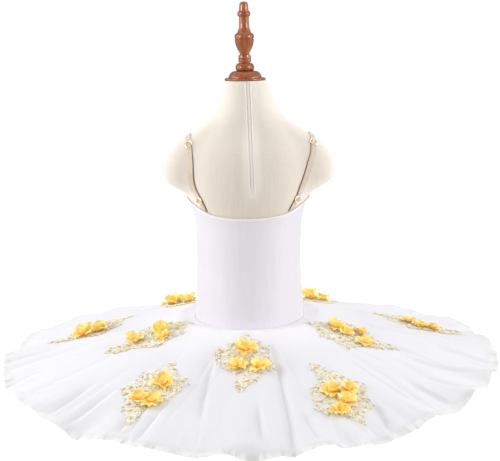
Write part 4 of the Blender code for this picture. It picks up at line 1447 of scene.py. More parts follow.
@dataclass
class SkirtShape:
    """The slope, rim waves and creases that the nets share."""

    rise: float = 74.5
    cone_start: float = 105.0
    cone_fall: float = 0.28
    side_lift: float = 0.06
    waves_start: float = 360.0
    rim: float = 440.0
    crest: float = 130.0
    seam: float = 95.0
    valley: float = 16.0
    crease_gain: float = 1.5
    small_creases: int = 90
    crease_seed: int = 7
    by_degree: dict[int, list[Sequence[float]]] = field(default_factory=dict)
    droop: float = 12.0
    droop_at: float = 0.0
    droop_spread: float = 3.0
    droop_radii: Span = (405.0, 440.0)
    # radii: where the yoke's gathers start and die away, and where the outer ones grow
    yoke_start: Span = (92.0, 106.0)
    yoke_end: Span = (190.0, 108.0)
    middle_start: Span = (110.0, 190.0)
    rim_start: Span = (320.0, 436.0)
    # rise, pace round and length of a bump: at the yoke, over the middle, and twice at the rim
    gathers: Table = ((0.9, 13, 260), (2.4, 4.5, 240), (3.4, 11, 160), (1.9, 30, 120))
    # turn, half_spread, rise
    waves: Table = (
        (-171, 6, -4), (-162, 5, 4), (-152, 6, -3), (-141, 6, 5), (-128, 6, 4), (-117, 6, -4),
        (-105, 5, 3), (-97, 5, -9), (-86, 6, 5), (-76, 6, -4), (-67, 7, -10), (-53, 6, 3),
        (-37, 8, -11), (-24, 5, 3), (-11, 5, -6), (-5, 4, 3), (5, 5, -4), (13.5, 5, 7),
        (26, 5, -7), (38.5, 6, 8), (47, 4, -4), (55, 7, 14), (66, 5, 14), (79, 6, -7), (92, 5, 4),
        (101.5, 5, -8), (114, 6, 4), (126, 6, -4), (138, 6, 3), (149, 6, -5), (160, 5, 4),
        (170, 6, -3), (180, 4, 4),
    )
    # turn at the inner end, turn at the outer end, inner radius, outer radius, half width, depth
    creases: Table = (
        (-165, -165, 300, 430, 19.6, 3), (-131, -131, 310, 430, 19.6, 3),
        (-94, -94, 240, 430, 19.6, 3), (-79, -79, 310, 430, 19.6, 3),
        (-49, -47.5, 340, 425, 12.6, 4), (-41, -41, 340, 420, 12.6, 3),
        (-28.8, -28.8, 380, 415, 11.2, 3), (-23.5, -23.5, 340, 420, 11.2, 3),
        (-16.6, -12.6, 215, 350, 12.6, 3.5), (1.5, 2, 330, 405, 11.2, 3.5),
        (11.5, 8, 170, 430, 16, 5), (13, 13.7, 350, 418, 9.8, 3), (31.6, 29.8, 360, 414, 9.8, 3),
        (47, 48, 345, 415, 12.6, 3.5), (61, 65, 300, 414, 14, 4), (78, 78, 330, 424, 14, 4),
        (94, 94, 240, 430, 19.6, 3), (127.5, 127.5, 310, 430, 19.6, 3),
        (161, 161, 310, 430, 19.6, 3),
    )

    def height(self, radius: float, turn: float) -> float:
        """Height of the top net before its fine gathers.

        Args:
            radius: millimetres from the middle.
            turn: angle about the vertical.

        Returns:
            The height above the rim level.
        """
        fall = self.cone_fall - self.side_lift * math.sin(math.radians(turn)) ** 2
        height = self.rise - fall * (radius - self.cone_start)
        deep = self.valley * (0.62 + 0.38 * math.cos(math.radians(turn)) ** 2)
        height -= deep * fade(radius, self.crest, self.seam)
        droop = folded_turn(turn - self.droop_at) / self.droop_spread
        height -= self.droop * fade(radius, *self.droop_radii) * math.exp(-droop * droop)
        share = max(0.0, (radius - self.waves_start) / (self.rim - self.waves_start))
        if share:
            for at, spread, rise in self.waves:
                away = abs(folded_turn(turn - at))
                if away < spread:
                    height += share * rise * (0.5 + 0.5 * math.cos(math.pi * away / spread))
        return height - self.crease_depth(radius, turn)

    def sort_creases(self) -> None:
        """Add small chance creases and sort all of them by the degrees they cross."""
        chance = random.Random(self.crease_seed)
        small = []
        for _ in range(self.small_creases):
            turn, inner = chance.uniform(-180.0, 180.0), chance.uniform(150.0, 340.0)
            small.append((turn, turn + chance.uniform(-3.0, 3.0), inner,
                          min(430.0, inner + chance.uniform(60.0, 170.0)),
                          chance.uniform(7.0, 15.0), chance.uniform(0.4, 1.6)))
        self.by_degree = {degree: [] for degree in range(-180, 180)}
        for crease in (*self.creases, *small):
            low, high = min(crease[:2]) - 9.0, max(crease[:2]) + 5.0
            for degree in range(math.floor(low), math.ceil(high) + 1):
                self.by_degree[int(folded_turn(degree))].append(crease)

    def crease_depth(self, radius: float, turn: float) -> float:
        """Depth of the creases at a place: each steep on one side, soft on the other.

        Args:
            radius: millimetres from the middle.
            turn: angle about the vertical.

        Returns:
            The depth in millimetres.
        """
        total = 0.0
        near = self.by_degree[math.floor(folded_turn(turn))]
        for inner_turn, outer_turn, inner, outer, half, depth in near:
            along = (radius - inner) / (outer - inner)
            if -0.25 < along < 1.25:
                at = inner_turn + (outer_turn - inner_turn) * along
                away = math.radians(folded_turn(turn - at)) * radius / half
                side = math.exp(-(2.2 * away) ** 2) if away > 0.0 else math.exp(1.1 * away)
                total += depth * side * fade(along, -0.25, 0.3) * fade(along, 1.25, 0.8)
        return self.crease_gain * total

    def pleats(self, radius: float, turn: float, seed: float) -> float:
        """Fine gathers: sharp near the yoke, soft over the middle, crisp at the rim.

        Args:
            radius: millimetres from the middle.
            turn: angle about the vertical.
            seed: picks one layer's pattern.

        Returns:
            The rise in millimetres.
        """
        yoke = fade(radius, *self.yoke_end) * fade(radius, *self.yoke_start)
        rim = fade(radius, *self.rim_start)
        zones = (yoke, fade(radius, *self.middle_start), rim, rim * rim)
        return sum(amount * zone * ring_noise(turn, pace, radius / length, seed + index)
                   for index, (zone, (amount, pace, length))
                   in enumerate(zip(zones, self.gathers)))


@dataclass(frozen=True)
class NetLayer:
    """One ring of net.

    Its pattern, its radius, the height of its seam on the yoke, its drop below the top
    net at the rim, its grid, how ragged its rim is, and how deep its gathers are.
    """

    seed: float
    outer: float
    yoke_rise: float
    drop: float
    columns: int
    rows: int
    ragged: float
    amount: float


@dataclass
class Skirt:
    """The stack of gathered nets sewn to the yoke."""

    palette: Palette
    body: BodyShape
    shape: SkirtShape
    sewn_out: float = 1.2
    top_yoke_rise: float = 61.5
    # depth of a crease whose painted shade is full
    full_shade_depth: float = 5.0
    # each net is cut as a ring: the radius of its hole, and the ease added for its waves
    waist: float = 105.0
    ease: float = 1.03
    # piece, node, finish in the palette, layers
    stacks: tuple[tuple[str, str, str, tuple[NetLayer, ...]], ...] = (
        ("top_net", "net_layer_1_top", "top_net", (
            NetLayer(11.0, 440.0, 61.5, 0.0, 960, 72, 2.6, 1.0),)),
        ("second_net", "net_layer_2", "under_net", (
            NetLayer(21.0, 421.0, 59.0, 5.0, 560, 30, 4.0, 0.45),
            NetLayer(24.0, 413.0, 56.5, 8.0, 480, 26, 4.0, 0.6),
            NetLayer(27.0, 406.0, 53.5, 11.0, 480, 26, 4.0, 0.8))),
        ("third_net", "net_layer_3", "under_net", (
            NetLayer(31.0, 372.0, 48.0, 13.0, 420, 22, 4.0, 1.3),
            NetLayer(34.0, 352.0, 43.0, 17.5, 420, 22, 4.0, 1.3))),
        ("short_net", "net_layer_4_short", "under_net", (
            NetLayer(41.0, 262.0, 36.0, 25.0, 360, 18, 5.0, 1.6),
            NetLayer(44.0, 235.0, 30.0, 29.0, 360, 16, 5.0, 1.6))),
    )

    def layer_mesh(self, layer: NetLayer) -> BMesh:
        """Build one ring of net.

        Args:
            layer: its sizes.

        Returns:
            A bmesh in metres, its UV map going round, then inward from the rim.
        """
        first_drop = self.top_yoke_rise - layer.yoke_rise

        def place(around: float, inward: float) -> Vector:
            """A point of the net."""
            turn = turn_at(around)
            sewn = self.body.point(layer.yoke_rise, turn, self.sewn_out)
            inner = math.hypot(sewn.x, sewn.y)
            rim = layer.outer + layer.ragged * ring_noise(turn, 19.0, 0.0, layer.seed + 5.0)
            rim += 0.6 * layer.ragged * ring_noise(turn, 70.0, 0.0, layer.seed + 6.0)
            share = 1.0 - inward + 0.1 * math.sin(math.tau * inward)
            radius = inner + (rim - inner) * share
            drop = first_drop + (layer.drop - first_drop) * share
            height = self.shape.height(radius, turn) - drop
            height += layer.amount * self.shape.pleats(radius, turn, layer.seed)
            start = Vector((sewn.x, sewn.y, 0.0)).normalized()
            away = start.lerp(outward(turn), fade(share, 0.0, 0.15)).normalized()
            return away * radius + UP * (RIM_LEVEL + height)

        bm = mapped_grid(layer.columns, layer.rows, place, wrap=True)
        reach = bm.verts.layers.float.new("reach")
        crease_shade = bm.verts.layers.float.new("crease_shade")
        for vert in bm.verts:
            x, y = vert.co.x / MM, vert.co.y / MM
            radius, turn = math.hypot(x, y), math.degrees(math.atan2(x, -y))
            vert[reach] = radius / layer.outer
            # painted shade in the creases, by their depth
            vert[crease_shade] = min(1.0, self.shape.crease_depth(radius, turn) / self.full_shade_depth)
        return bm

    def build(self) -> Object:
        """Make every net.

        Returns:
            The top net, on which the appliques are laid.
        """
        self.shape.sort_creases()
        made = []
        for name, node, finish, layers in self.stacks:
            bm = self.layer_mesh(layers[0])
            for layer in layers[1:]:
                join_into(bm, self.layer_mesh(layer))
            piece = make_piece(name, bm, getattr(self.palette, finish), Slot.NET, [node])
            rings = sum(math.pi * (layer.outer ** 2 - self.waist ** 2) for layer in layers)
            made.append(piece)
        return made[0]


# ------------------------------------------------------------------ the appliques

@dataclass
class LaceMotif:
    """One spray of corded scrolls on a net ground, drawn flat; along, across, height."""

    stem_half: float = 1.1
    scroll_half: float = 1.0
    rise: float = 0.75
    spacing: float = 11.2
    row_step: float = 0.84
    cell: float = 2.0
    # half the width of the net that the ground is cut from
    side: float = 54.0
    # depth and length of the scallops, pace of the gaps and the noise above which they open
    scallop: Span = (1.4, 2.3)
    gaps: Span = (0.3, 0.26)
    cord_sides: int = 6
    curl_steps: int = 12
    # ranges: radius and turns of the curls inside and round the edge, and what lies between
    curl_radii: Span = (5.2, 7.0)
    curl_turns: Span = (1.0, 1.45)
    rim_radii: Span = (4.6, 6.4)
    rim_turns: Span = (0.75, 1.1)
    rim_step: Span = (8.5, 11.5)
    leaf_lengths: Span = (7.0, 9.5)
    thinned: float = 0.07
    long: float = 164.0
    wide: float = 100.0
    ground_rise: float = 0.1
    # along, half width on the left, half width on the right
    edge: Table = (
        (-80, 0, 0), (-66, 5, 5), (-56, 16, 14), (-46, 26, 36), (-36, 42, 35), (-26, 48, 36),
        (-12, 44, 42), (4, 42, 50), (14, 34, 42), (24, 24, 33), (34, 12, 29), (46, 6, 24),
        (58, 5, 17), (70, 4, 9), (84, 0, 0),
    )

    def half_width(self, along: float, side: float) -> float:
        """Half the spray's width at a place along it, on one side."""
        if not self.edge[0][0] < along < self.edge[-1][0]:
            return -1.0
        return interpolate(self.edge, along)[side > 0.0]

    def ground(self, seed: int) -> BMesh:
        """Cut the net ground along the spray's edge and open small gaps in it.

        Args:
            seed: picks the gaps.

        Returns:
            A bmesh in metres, flat.
        """
        first, last = self.edge[0][0], self.edge[-1][0]
        depth, length = self.scallop
        pace, least = self.gaps

        def place(across: float, along: float) -> Vector:
            """A point of the flat ground."""
            return Vector((first + (last - first) * along, self.side * (2.0 * across - 1.0),
                           self.ground_rise))

        bm = mapped_grid(round(2.0 * self.side / self.cell), round((last - first) / self.cell),
                         place)
        spare = []
        for face in bm.faces:
            spot = face.calc_center_median() / MM
            lobe = depth * math.sin(spot.x / length)
            gap = noise.noise(Vector((spot.x * pace, spot.y * pace, float(seed))))
            if abs(spot.y) > self.half_width(spot.x, spot.y) + lobe or gap > least:
                spare.append(face)
        bmesh.ops.delete(bm, geom=spare, context="FACES")
        return bm

    def cord(self, spots: Sequence[Vector], half: float, rise: float, taper: float) -> BMesh:
        """A cord along flat points, pointed at both ends.

        Args:
            spots: its line.
            half: half its width.
            rise: half its height.
            taper: how soon it swells from its points; small is soon.

        Returns:
            A bmesh in metres.
        """
        last = len(spots) - 1
        widths = []
        for step in range(last + 1):
            swell = math.sin(math.pi * (0.01 + 0.98 * step / last)) ** taper
            widths.append((half * swell, rise * swell))
        return swept(spots, [UP] * len(spots), widths, self.cord_sides)

    def scroll(self, centre: Vector, radius: float, start: float, turns: float, hand: int,
               half: float) -> BMesh:
        """One curling cord.

        Args:
            centre: middle of the curl, in the flat.
            radius: its outer radius.
            start: angle of its outer end, in radians.
            turns: how far round it goes.
            hand: 1 or -1, the way it curls.
            half: half the cord's width.

        Returns:
            A bmesh in metres.
        """
        spots = []
        for step in range(self.curl_steps):
            share = step / (self.curl_steps - 1)
            run, _ = flat_axes(start + hand * math.tau * turns * share)
            spot = centre + run * (radius * (1.0 - 0.66 * share))
            spots.append(spot + UP * (0.3 + 0.5 * share))
        return self.cord(spots, half, self.rise, 0.4)

    def stem(self, points: Sequence[Vector], half: float) -> BMesh:
        """A stem along a few points of the flat.

        Args:
            points: its line.
            half: half its width.

        Returns:
            A bmesh in metres.
        """
        steps = 6 * (len(points) - 1)
        table = [(float(index), point.x, point.y) for index, point in enumerate(points)]
        spots = []
        for step in range(steps + 1):
            x, y = smooth_interpolate(table, step / steps * (len(points) - 1))
            spots.append(Vector((x, y, 0.45)))
        return self.cord(spots, half, self.rise + 0.15, 0.35)

    def leaf(self, root: Vector, angle: float, length: float) -> BMesh:
        """A small padded leaf.

        Args:
            root: where it starts, in the flat.
            angle: its direction in radians.
            length: its length.

        Returns:
            A bmesh in metres.
        """
        run, side = flat_axes(angle)
        spots = []
        for step in range(8):
            share = step / 7.0
            bend = side * 0.16 * length * math.sin(math.pi * share)
            spots.append(root + run * length * share + bend + UP * 0.4)
        return self.cord(spots, 0.22 * length, 0.7, 0.8)

    def draw(self, seed: int) -> BMesh:
        """Draw the whole spray.

        Args:
            seed: picks the small irregularities of one applique.

        Returns:
            A bmesh in metres, flat, with its height in z.
        """
        chance = random.Random(seed)
        bm = new_mesh()
        spine = [Vector((x, 2.5 * math.sin(x / 19.0), 0.0)) for x in range(-84, 89, 12)]
        join_into(bm, self.stem(spine, self.stem_half))
        for x in range(-60, 62, 20):
            for side in (-1, 1):
                width = max(6.0, self.half_width(x + 8.0, side) - 5.0)
                root = Vector((x - 6.0, 0.0, 0.0))
                bow = Vector((x + 7.0, side * width * 0.45, 0.0))
                tip = Vector((x + 9.0, side * width, 0.0))
                join_into(bm, self.stem([root, bow, tip], self.scroll_half))
                join_into(bm, self.leaf(bow, side * chance.uniform(0.1, 0.5),
                                        chance.uniform(*self.leaf_lengths)))
        self.fill(bm, chance)
        self.border(bm, chance)
        return bm

    def fill(self, bm: BMesh, chance: random.Random) -> None:
        """Fill the leaf with curls.

        Args:
            bm: where they are added.
            chance: source of their irregularities.
        """
        row = 0
        along = self.edge[0][0] + 6.0
        while along < self.edge[-1][0] - 3.0:
            count = int(self.side / self.spacing) + 1
            offset = 0.5 * self.spacing if row % 2 else 0.0
            for step in range(-count, count + 1):
                across = step * self.spacing + offset + chance.uniform(-1.7, 1.7)
                spot = Vector((along + chance.uniform(-1.9, 1.9), across, 0.0))
                width = self.half_width(along, across) - 3.0
                if abs(across) > width or chance.random() < self.thinned:
                    continue
                start = chance.uniform(-math.pi, math.pi)
                half = self.scroll_half * chance.uniform(0.8, 1.25)
                join_into(bm, self.scroll(spot, chance.uniform(*self.curl_radii), start,
                                          chance.uniform(*self.curl_turns),
                                          chance.choice((-1, 1)), half))
            along += self.spacing * self.row_step
            row += 1

    def border(self, bm: BMesh, chance: random.Random) -> None:
        """Run looser curls round the leaf's edge.

        Args:
            bm: where they are added.
            chance: source of their irregularities.
        """
        for side in (-1, 1):
            along = self.edge[0][0] + 4.0
            while along < self.edge[-1][0] - 3.0:
                lobe = 2.2 * math.sin(along / 7.5 + side)
                width = max(1.0, self.half_width(along, side) + lobe - 0.5)
                spot = Vector((along, side * width, 0.0))
                away = math.atan2(side * width, 0.5 * along)
                radius = chance.uniform(*self.rim_radii)
                join_into(bm, self.scroll(spot, radius, away + chance.uniform(-0.9, 0.9),
                                          chance.uniform(*self.rim_turns),
                                          chance.choice((-1, 1)), self.scroll_half))
                along += chance.uniform(*self.rim_step)


@dataclass(frozen=True)
class Petal:
    """Size and set of one petal."""

    length: float
    half: float
    first_slope: float
    last_slope: float
    cup: float
    ruffle: float


@dataclass
class OrganzaFlower:
    """A crumpled flower: a few broad cupped petals set at odd angles."""

    # length, half width, slope at the root, slope at the tip, cup, ruffle
    low: Petal = Petal(22.0, 14.0, 30.0, 4.0, 5.0, 3.0)
    tall: Petal = Petal(23.0, 14.5, 62.0, 44.0, 9.0, 2.0)
    small: Petal = Petal(13.0, 8.5, 66.0, 34.0, 5.0, 1.4)

    def petal(self, kind: Petal, direction: float, size: float, chance: random.Random) -> BMesh:
        """One petal.

        Args:
            kind: its size and set.
            direction: angle about the flower's middle, in radians.
            size: its scale.
            chance: source of its irregularities.

        Returns:
            A bmesh in metres.
        """
        run, side = flat_axes(direction)
        phase, seed = chance.uniform(0.0, math.tau), chance.uniform(0.0, 90.0)
        twist, point = chance.uniform(-0.35, 0.35), chance.uniform(0.25, 0.75)
        slopes = [math.radians(slope + chance.uniform(-9.0, 9.0))
                  for slope in (kind.first_slope, kind.last_slope)]

        def place(across: float, along: float) -> Vector:
            """A point of the petal."""
            s = across * 2.0 - 1.0
            slope = slopes[0] + 0.5 * (slopes[1] - slopes[0]) * along
            reach = kind.length * size * along * (1.0 - point * 0.28 * s * s * along)
            rise = math.sin(slope)
            forward = run * math.cos(slope) + UP * rise
            normal = UP * math.cos(slope) - run * rise
            width = kind.half * size * math.sin(math.pi * (0.13 + 0.70 * along)) ** 0.8
            bend = kind.cup * s * s * (0.35 + 0.65 * along) * width / kind.half
            bend += kind.ruffle * along ** 1.6 * math.sin(4.1 * s + phase)
            bend += twist * s * width * along
            spot = forward * reach + side * width * s * 0.92 + normal * bend
            crumple = noise.noise(Vector((spot.x * 0.13, spot.y * 0.13, spot.z * 0.13 + seed)))
            spot += normal * 2.6 * crumple * along
            spot += run * 1.4 + UP * 0.9
            spot.z = max(0.3, spot.z)
            return spot

        return mapped_grid(12, 9, place)

    def draw(self, seed: int) -> BMesh:
        """Make one whole flower.

        Args:
            seed: picks its irregularities.

        Returns:
            A bmesh in metres about its own root.
        """
        chance = random.Random(seed)
        bm = new_mesh()
        spin = chance.uniform(0.0, math.tau)
        second = chance.choice((self.tall, self.low))
        kinds = [self.tall, self.low, self.low, second, self.low]
        for number, kind in enumerate(kinds):
            direction = spin + math.tau * number / len(kinds) + chance.uniform(-0.3, 0.3)
            join_into(bm, self.petal(kind, direction, chance.uniform(0.82, 1.05), chance))
        for number in range(2):
            direction = spin + 0.6 + math.tau * number / 2 + chance.uniform(-0.3, 0.3)
            join_into(bm, self.petal(self.small, direction, chance.uniform(0.85, 1.1), chance))
        return bm


@dataclass
class Appliques:
    """Ten sprays of lace, each with organza flowers, sewn over the top net."""

    palette: Palette
    motif: LaceMotif
    flower: OrganzaFlower
    lace_lift: float = 0.5
    flower_lift: float = 1.4
    flower_size: float = 0.95
    flower_wall: float = 0.15
    # the skirt's fall outward, which the flowers stand square to
    slope: float = 0.26
    # turn, radius, flip, mirror, lean
    places: Table = (
        (-3, 206, 1, 1, -2), (61, 199, 1, -1, 12), (140, 195, 1, 1, 0), (-140, 195, 1, -1, 0),
        (-63.5, 192, 1, 1, -5), (25, 315, -1, 1, 0), (101, 318, 1, -1, -27), (180, 315, 1, 1, 0),
        (-98, 297, 1, 1, 36), (-30, 311, 1, -1, 10),
    )
    # applique, radius, turn, scale, height
    blooms: Table = (
        (1, 176, -2.4, 1.12, 1), (1, 219, -5.4, 0.92, 0.6), (1, 224, 3, 1, 0.7),
        (2, 168, 63.2, 1, 0.8), (2, 189, 61.5, 0.70, 0.8), (2, 207, 67.5, 0.75, 0.6),
        (2, 227, 58.4, 0.95, 0.6), (3, 178, 139.5, 1.15, 0.9), (3, 215, 138.4, 1, 0.8),
        (3, 210, 146.8, 1.1, 1), (4, 172, -138.7, 1.05, 0.8), (4, 215, -142.2, 1.05, 0.8),
        (4, 214, -135.4, 1.2, 1), (5, 216, -66, 1, 0.8), (5, 171, -63.4, 0.95, 0.9),
        (5, 181, -55, 0.85, 0.7), (6, 311, 23.8, 0.95, 0.8), (6, 318, 28.4, 0.92, 0.8),
        (6, 343, 25.4, 0.95, 0.7), (6, 358, 21.8, 0.85, 0.8), (7, 299, 100, 0.9, 0.6),
        (7, 316, 97, 0.85, 0.5), (7, 338, 96, 0.9, 0.5), (8, 291, 180.8, 1, 1),
        (8, 337, 177.6, 0.95, 0.8), (8, 341, 183.7, 1, 0.9), (9, 303, -92, 1.05, 1),
        (9, 277, -95.6, 1.1, 0.8), (9, 300, -100, 0.80, 0.7), (10, 291, -27.8, 1.05, 1),
        (10, 336, -30.9, 0.88, 0.9), (10, 334, -26.9, 0.95, 0.7),
    )

    def build(self, net: Object) -> None:
        """Make every applique.

        Args:
            net: the top net.
        """
        tree = search_tree(net)
        for number, row in enumerate(self.places, 1):
            self.build_lace(tree, number, row)
            self.build_cluster(tree, number)

    def on_net(self, tree: BVHTree, plan: Vector) -> Vector:
        """The point of the net below a place in plan, in millimetres."""
        start = Vector((plan.x * MM, plan.y * MM, 1.0))
        return tree.ray_cast(start, -UP)[0] / MM

    def build_lace(self, tree: BVHTree, number: int, row: Sequence[float]) -> None:
        """Lay one spray of lace.

        Args:
            tree: the top net's search tree.
            number: the applique's number.
            row: its row of the table.
        """
        turn, radius, flip, mirror, lean = row
        middle = outward(turn) * radius
        out = outward(turn + lean) * flip
        across = flat_axes(math.radians(turn + lean))[0] * mirror
        for word, bm, finish in (("spray", self.motif.draw(100 + number), self.palette.lace),
                                 ("ground", self.motif.ground(number), self.palette.lace_ground)):
            for vert in bm.verts:
                flat = vert.co / MM
                spot = self.on_net(tree, middle + out * flat.x + across * flat.y)
                vert.co = (spot + UP * (self.lace_lift + flat.z)) * MM
            if flip * mirror > 0:
                bmesh.ops.reverse_faces(bm, faces=bm.faces)
            make_piece(f"lace_{word}_{number:02d}", bm, finish, Slot.LACE,
                                     [f"lace_{number:02d}"], crease=80.0)

    def build_cluster(self, tree: BVHTree, number: int) -> None:
        """Sew on one applique's flowers.

        Args:
            tree: the top net's search tree.
            number: the applique's number.
        """
        cluster = new_mesh()
        mine = [row for row in self.blooms if row[0] == number]
        for index, (_, radius, turn, scale, height) in enumerate(mine):
            out = outward(turn)
            up = (UP + out * self.slope).normalized()
            spot = self.on_net(tree, out * radius)
            bloom = self.flower.draw(number * 10 + index)
            turned = UP.rotation_difference(up).to_matrix().to_4x4()
            move = Matrix.Translation((spot + up * self.flower_lift) * MM)
            wide = self.flower_size * scale
            size = Matrix.Diagonal((wide, wide, wide * height, 1.0))
            bmesh.ops.transform(bloom, matrix=move @ turned @ size, verts=bloom.verts)
            join_into(cluster, bloom)
        make_piece(f"flower_cluster_{number:02d}", cluster, self.palette.petal, Slot.ORGANZA,
                   [f"flowers_{number:02d}"], wall=self.flower_wall, crease=120.0)


# ------------------------------------------------------------------ the straps

@dataclass(frozen=True)
class Band:
    """Half the width of a band, its lift off the form, its thickness and its stations.

    The offsets are millimetres outward of the route, where it starts and where it ends.
    """

    half: float
    lift: float
    thick: float
    stations: int
    offsets: Span = (0.0, 0.0)


@dataclass
class StrapRoute:
    """The line that one strap follows over the form; side is -1 on the left, 1 on the right."""

    tree: BVHTree
    side: int
    # where the angles are counted about: forward of the middle, height
    shoulder: Span = (4.0, 300.0)
    # angle from the back, distance from the middle on the left, and on the right
    table: Table = (
        (-30, 75, 76), (-12, 85, 89), (3, 92.5, 94.5), (23, 96.5, 101.5), (48, 97, 110),
        (65, 98.5, 116), (90, 101, 114), (115, 99, 107), (145, 86, 88), (172, 67, 67),
    )
    # an angle where the strap lies below any height looked for, and one where it lies above
    on_back: Span = (-30.0, 80.0)
    in_front: Span = (179.0, 100.0)
    halvings: int = 22
    pieces: int = 60
    # half of what is looked at round a fitting, across in millimetres and along in degrees
    reach: float = 4.0
    # a band's section: across in half widths, up in thicknesses
    corners: Table = (
        (-1, 0.5), (-0.96, 0.9), (-0.85, 1), (-0.4, 1), (0, 1), (0.4, 1), (0.85, 1), (0.96, 0.9),
        (1, 0.5), (0.9, 0), (0.3, 0), (-0.3, 0), (-0.9, 0),
    )

    def hit(self, angle: float, offset: float = 0.0) -> Vector:
        """The torso's surface on the route.

        Args:
            angle: from the back, over the shoulder.
            offset: millimetres outward across the strap.

        Returns:
            The point in millimetres.
        """
        distance = smooth_interpolate(self.table, angle)[self.side > 0] + offset
        turn = math.radians(angle)
        away = Vector((0.0, -math.cos(turn), math.sin(turn)))
        axis = Vector((self.side * distance, self.shoulder[0], RIM_LEVEL + self.shoulder[1]))
        return self.tree.ray_cast((axis + away * 400.0) * MM, -away)[0] / MM

    def angle_at(self, height: float, angles: Span) -> float:
        """The angle at which the strap's middle passes a height, found by halving.

        Args:
            height: millimetres above the rim level.
            angles: one at which the strap lies below that height, one at which it lies above.

        Returns:
            The angle in degrees.
        """
        low, high = angles
        for _ in range(self.halvings):
            middle = 0.5 * (low + high)
            if self.hit(middle).z > RIM_LEVEL + height:
                high = middle
            else:
                low = middle
        return 0.5 * (low + high)

    def length(self, first: float, last: float) -> float:
        """The length of the route between two angles."""
        spots = [self.hit(first + (last - first) * step / self.pieces)
                 for step in range(self.pieces + 1)]
        return sum((after - before).length for before, after in zip(spots, spots[1:]))

    def band(self, kind: Band, first: float, last: float) -> BMesh:
        """A flat band with rounded edges along the route.

        Args:
            kind: its sizes.
            first: angle where it starts.
            last: angle where it ends.

        Returns:
            A bmesh in metres.
        """
        stations, (start, end) = kind.stations, kind.offsets
        rows = []
        for step in range(stations + 1):
            angle = first + (last - first) * step / stations
            offset = start + (end - start) * step / stations
            rows.append([self.hit(angle, offset + part * kind.half)
                         for part in (-1.0, -0.5, 0.0, 0.5, 1.0)])
        middles = [row[2] for row in rows]

        def place(around: float, along: float) -> Vector:
            """A point of the band."""
            step = round(along * stations)
            part, high = self.corners[round(around * len(self.corners)) % len(self.corners)]
            row = rows[step]
            run = middles[min(step + 1, stations)] - middles[max(step - 1, 0)]
            up = (row[4] - row[0]).cross(run).normalized() * self.side
            if up.y > 0.0 and up.z < 0.2 and middles[step].y < 0.0:
                up = -up
            spot = (part + 1.0) * 2.0
            index = min(3, int(spot))
            base = row[index].lerp(row[index + 1], spot - index)
            return base + up * (kind.lift + high * kind.thick)

        bm = mapped_grid(len(self.corners), stations, place, wrap=True)
        close_ends(bm)
        bmesh.ops.recalc_face_normals(bm, faces=bm.faces)
        return bm

    def frame_at(self, height: float, lift: float) -> Matrix:
        """The place and directions of a fitting on the strap.

        Args:
            height: millimetres above the rim level.
            lift: millimetres over the torso.

        Returns:
            A matrix in metres: X across, Y along the strap, Z away from the form.
        """
        angle = self.angle_at(height, self.on_back)
        near, far = self.hit(angle, -self.reach), self.hit(angle, self.reach)
        below, above = self.hit(angle - self.reach), self.hit(angle + self.reach)
        across = (far - near).normalized() * self.side
        along = (above - below).normalized()
        up = across.cross(along).normalized()
        along = up.cross(across).normalized()
        middle = 0.5 * (near + far) + up * lift
        turned = Matrix((across, along, up)).transposed().to_4x4()
        return Matrix.Translation(middle * MM) @ turned


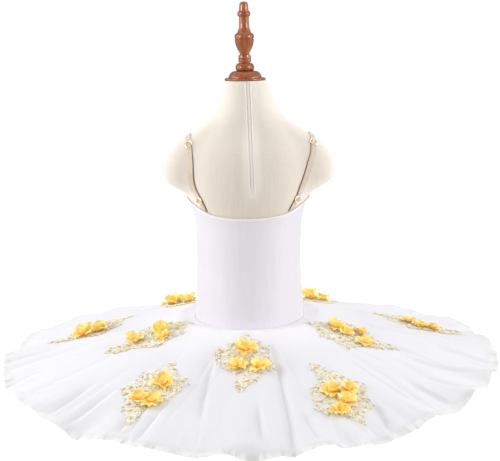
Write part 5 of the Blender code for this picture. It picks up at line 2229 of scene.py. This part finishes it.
@dataclass
class Straps:
    """Two satin straps with their tabs, sliders and rings."""

    palette: Palette
    strap: Band = Band(4.4, 0.5, 0.9, 72)
    tab: Band = Band(4.4, 0.5, 0.9, 10)
    fold_back: Band = Band(3.8, 0.1, 0.5, 44, (-3.6, -1.5))
    # degrees left free between a band's end and its fitting
    ring_gap: float = 0.4
    slider_gap: float = 1.0
    back_end: float = 262.0
    front_end: float = 311.0
    ring_height: float = 283.0
    ring_lift: float = 0.9
    ring_radius: float = 6.2
    ring_wire: float = 1.0
    slider_height: float = 378.0
    slider_lift: float = 1.2
    slider_half: Span = (6.2, 4.6)
    slider_wire: float = 0.75
    slider_steps: int = 48
    # the least width of a narrow band, in millimetres; the least width that a flat size
    # may state
    least_cut: float = 10.0

    def add_band(self, name: str, route: StrapRoute, kind: Band, ends: Span, length: float,
                 finish: Material, nodes: Sequence[str]) -> None:
        """Make a piece of a band.

        Args:
            name: the piece's name.
            route: what it follows.
            kind: its sizes.
            ends: angles where it starts and ends.
            length: its length; not used.
            finish: its material.
            nodes: the CAD nodes that it stands for.
        """
        piece = make_piece(name, route.band(kind, *ends), finish, Slot.SATIN, nodes)
        max(2.0 * kind.half, self.least_cut) * MM

    def slider_mesh(self) -> BMesh:
        """A slider in the flat: a rounded frame with a bar across its middle.

        Returns:
            A bmesh in metres.
        """
        wide, long = self.slider_half
        wire, steps = self.slider_wire, self.slider_steps
        loop = []
        for corner in range(steps + 1):
            angle = math.tau * (corner % steps) / steps
            c, s = math.cos(angle), math.sin(angle)
            stretch = (abs(c) ** 6 + abs(s) ** 6) ** (-1.0 / 6.0)
            loop.append(Vector((wide * c * stretch, long * s * stretch, wire)))

        def place(around: float, along: float) -> Vector:
            """A point of the slider's frame."""
            step = round(along * steps) % steps
            across = (loop[(step + 1) % steps] - loop[step - 1]).normalized().cross(UP)
            angle = math.tau * around
            return loop[step] + across * wire * math.cos(angle) + UP * wire * math.sin(angle)

        bm = mapped_grid(8, steps, place, wrap=True)
        bar = [Vector((x, 0.0, wire)) for x in (-6.0, -4.0, -2.0, 0.0, 2.0, 4.0, 6.0)]
        join_into(bm, swept(bar, [UP] * len(bar), [(wire, wire)] * len(bar), 8))
        weld(bm, FINE_WELD)
        return bm

    def ring_mesh(self) -> BMesh:
        """A round wire ring in the flat.

        Returns:
            A bmesh in metres.
        """
        bm = new_mesh()
        bmesh.ops.create_circle(bm, cap_ends=False, segments=10, radius=self.ring_wire * MM)
        bmesh.ops.rotate(bm, verts=bm.verts, cent=(0.0, 0.0, 0.0),
                         matrix=Matrix.Rotation(math.radians(90.0), 3, "X"))
        bmesh.ops.translate(bm, verts=bm.verts,
                            vec=(self.ring_radius * MM, 0.0, self.ring_wire * MM))
        spin_round(bm, 36, FINE_WELD)
        return bm

    def build(self, torso: Object) -> None:
        """Make both straps.

        Args:
            torso: the form's torso.
        """
        tree = search_tree(torso)
        for word, side in (("left", -1), ("right", 1)):
            route = StrapRoute(tree, side)
            back, ring, slider = (route.angle_at(height, route.on_back) for height in
                                  (self.back_end, self.ring_height, self.slider_height))
            front = route.angle_at(self.front_end, route.in_front)
            self.add_band(f"satin_strap_{word}", route, self.strap,
                          (ring + self.ring_gap, front), route.length(ring, front),
                          self.palette.satin, [f"strap_{word}"])
            # the folded-back layer peeks out at the strap's inner edge; its dark brown is painted
            # shadow
            self.add_band(f"strap_return_{word}", route, self.fold_back,
                          (back, slider - self.slider_gap), route.length(back, slider),
                          self.palette.strap_shadow, ())
            self.add_band(f"strap_end_{word}", route, self.tab, (back, ring - self.ring_gap),
                          route.length(back, ring), self.palette.satin, [f"strap_tab_{word}"])
            for fitting, bm, height, lift in (
                    ("slider", self.slider_mesh(), self.slider_height, self.slider_lift),
                    ("ring", self.ring_mesh(), self.ring_height, self.ring_lift)):
                frame = route.frame_at(height, lift)
                bmesh.ops.transform(bm, matrix=frame, verts=bm.verts)
                make_piece(f"gilt_{fitting}_{word}", bm, self.palette.gilt, Slot.GILT,
                           [f"strap_{fitting}_{word}"])


def main() -> None:
    """Build the studio, the form and the garment on it."""
    logging.basicConfig(level=logging.INFO, format="%(name)s %(message)s")
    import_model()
    palette = Palette()
    Studio(palette).build()
    body = BodyShape()
    torso = DressForm(palette, body).build()
    TurnedStand(palette).build()
    Bodice(palette, body).build()
    top_net = Skirt(palette, body, SkirtShape()).build()
    Appliques(palette, LaceMotif(), OrganzaFlower()).build(top_net)
    Straps(palette).build(torso)


if __name__ == "__main__":
    main()
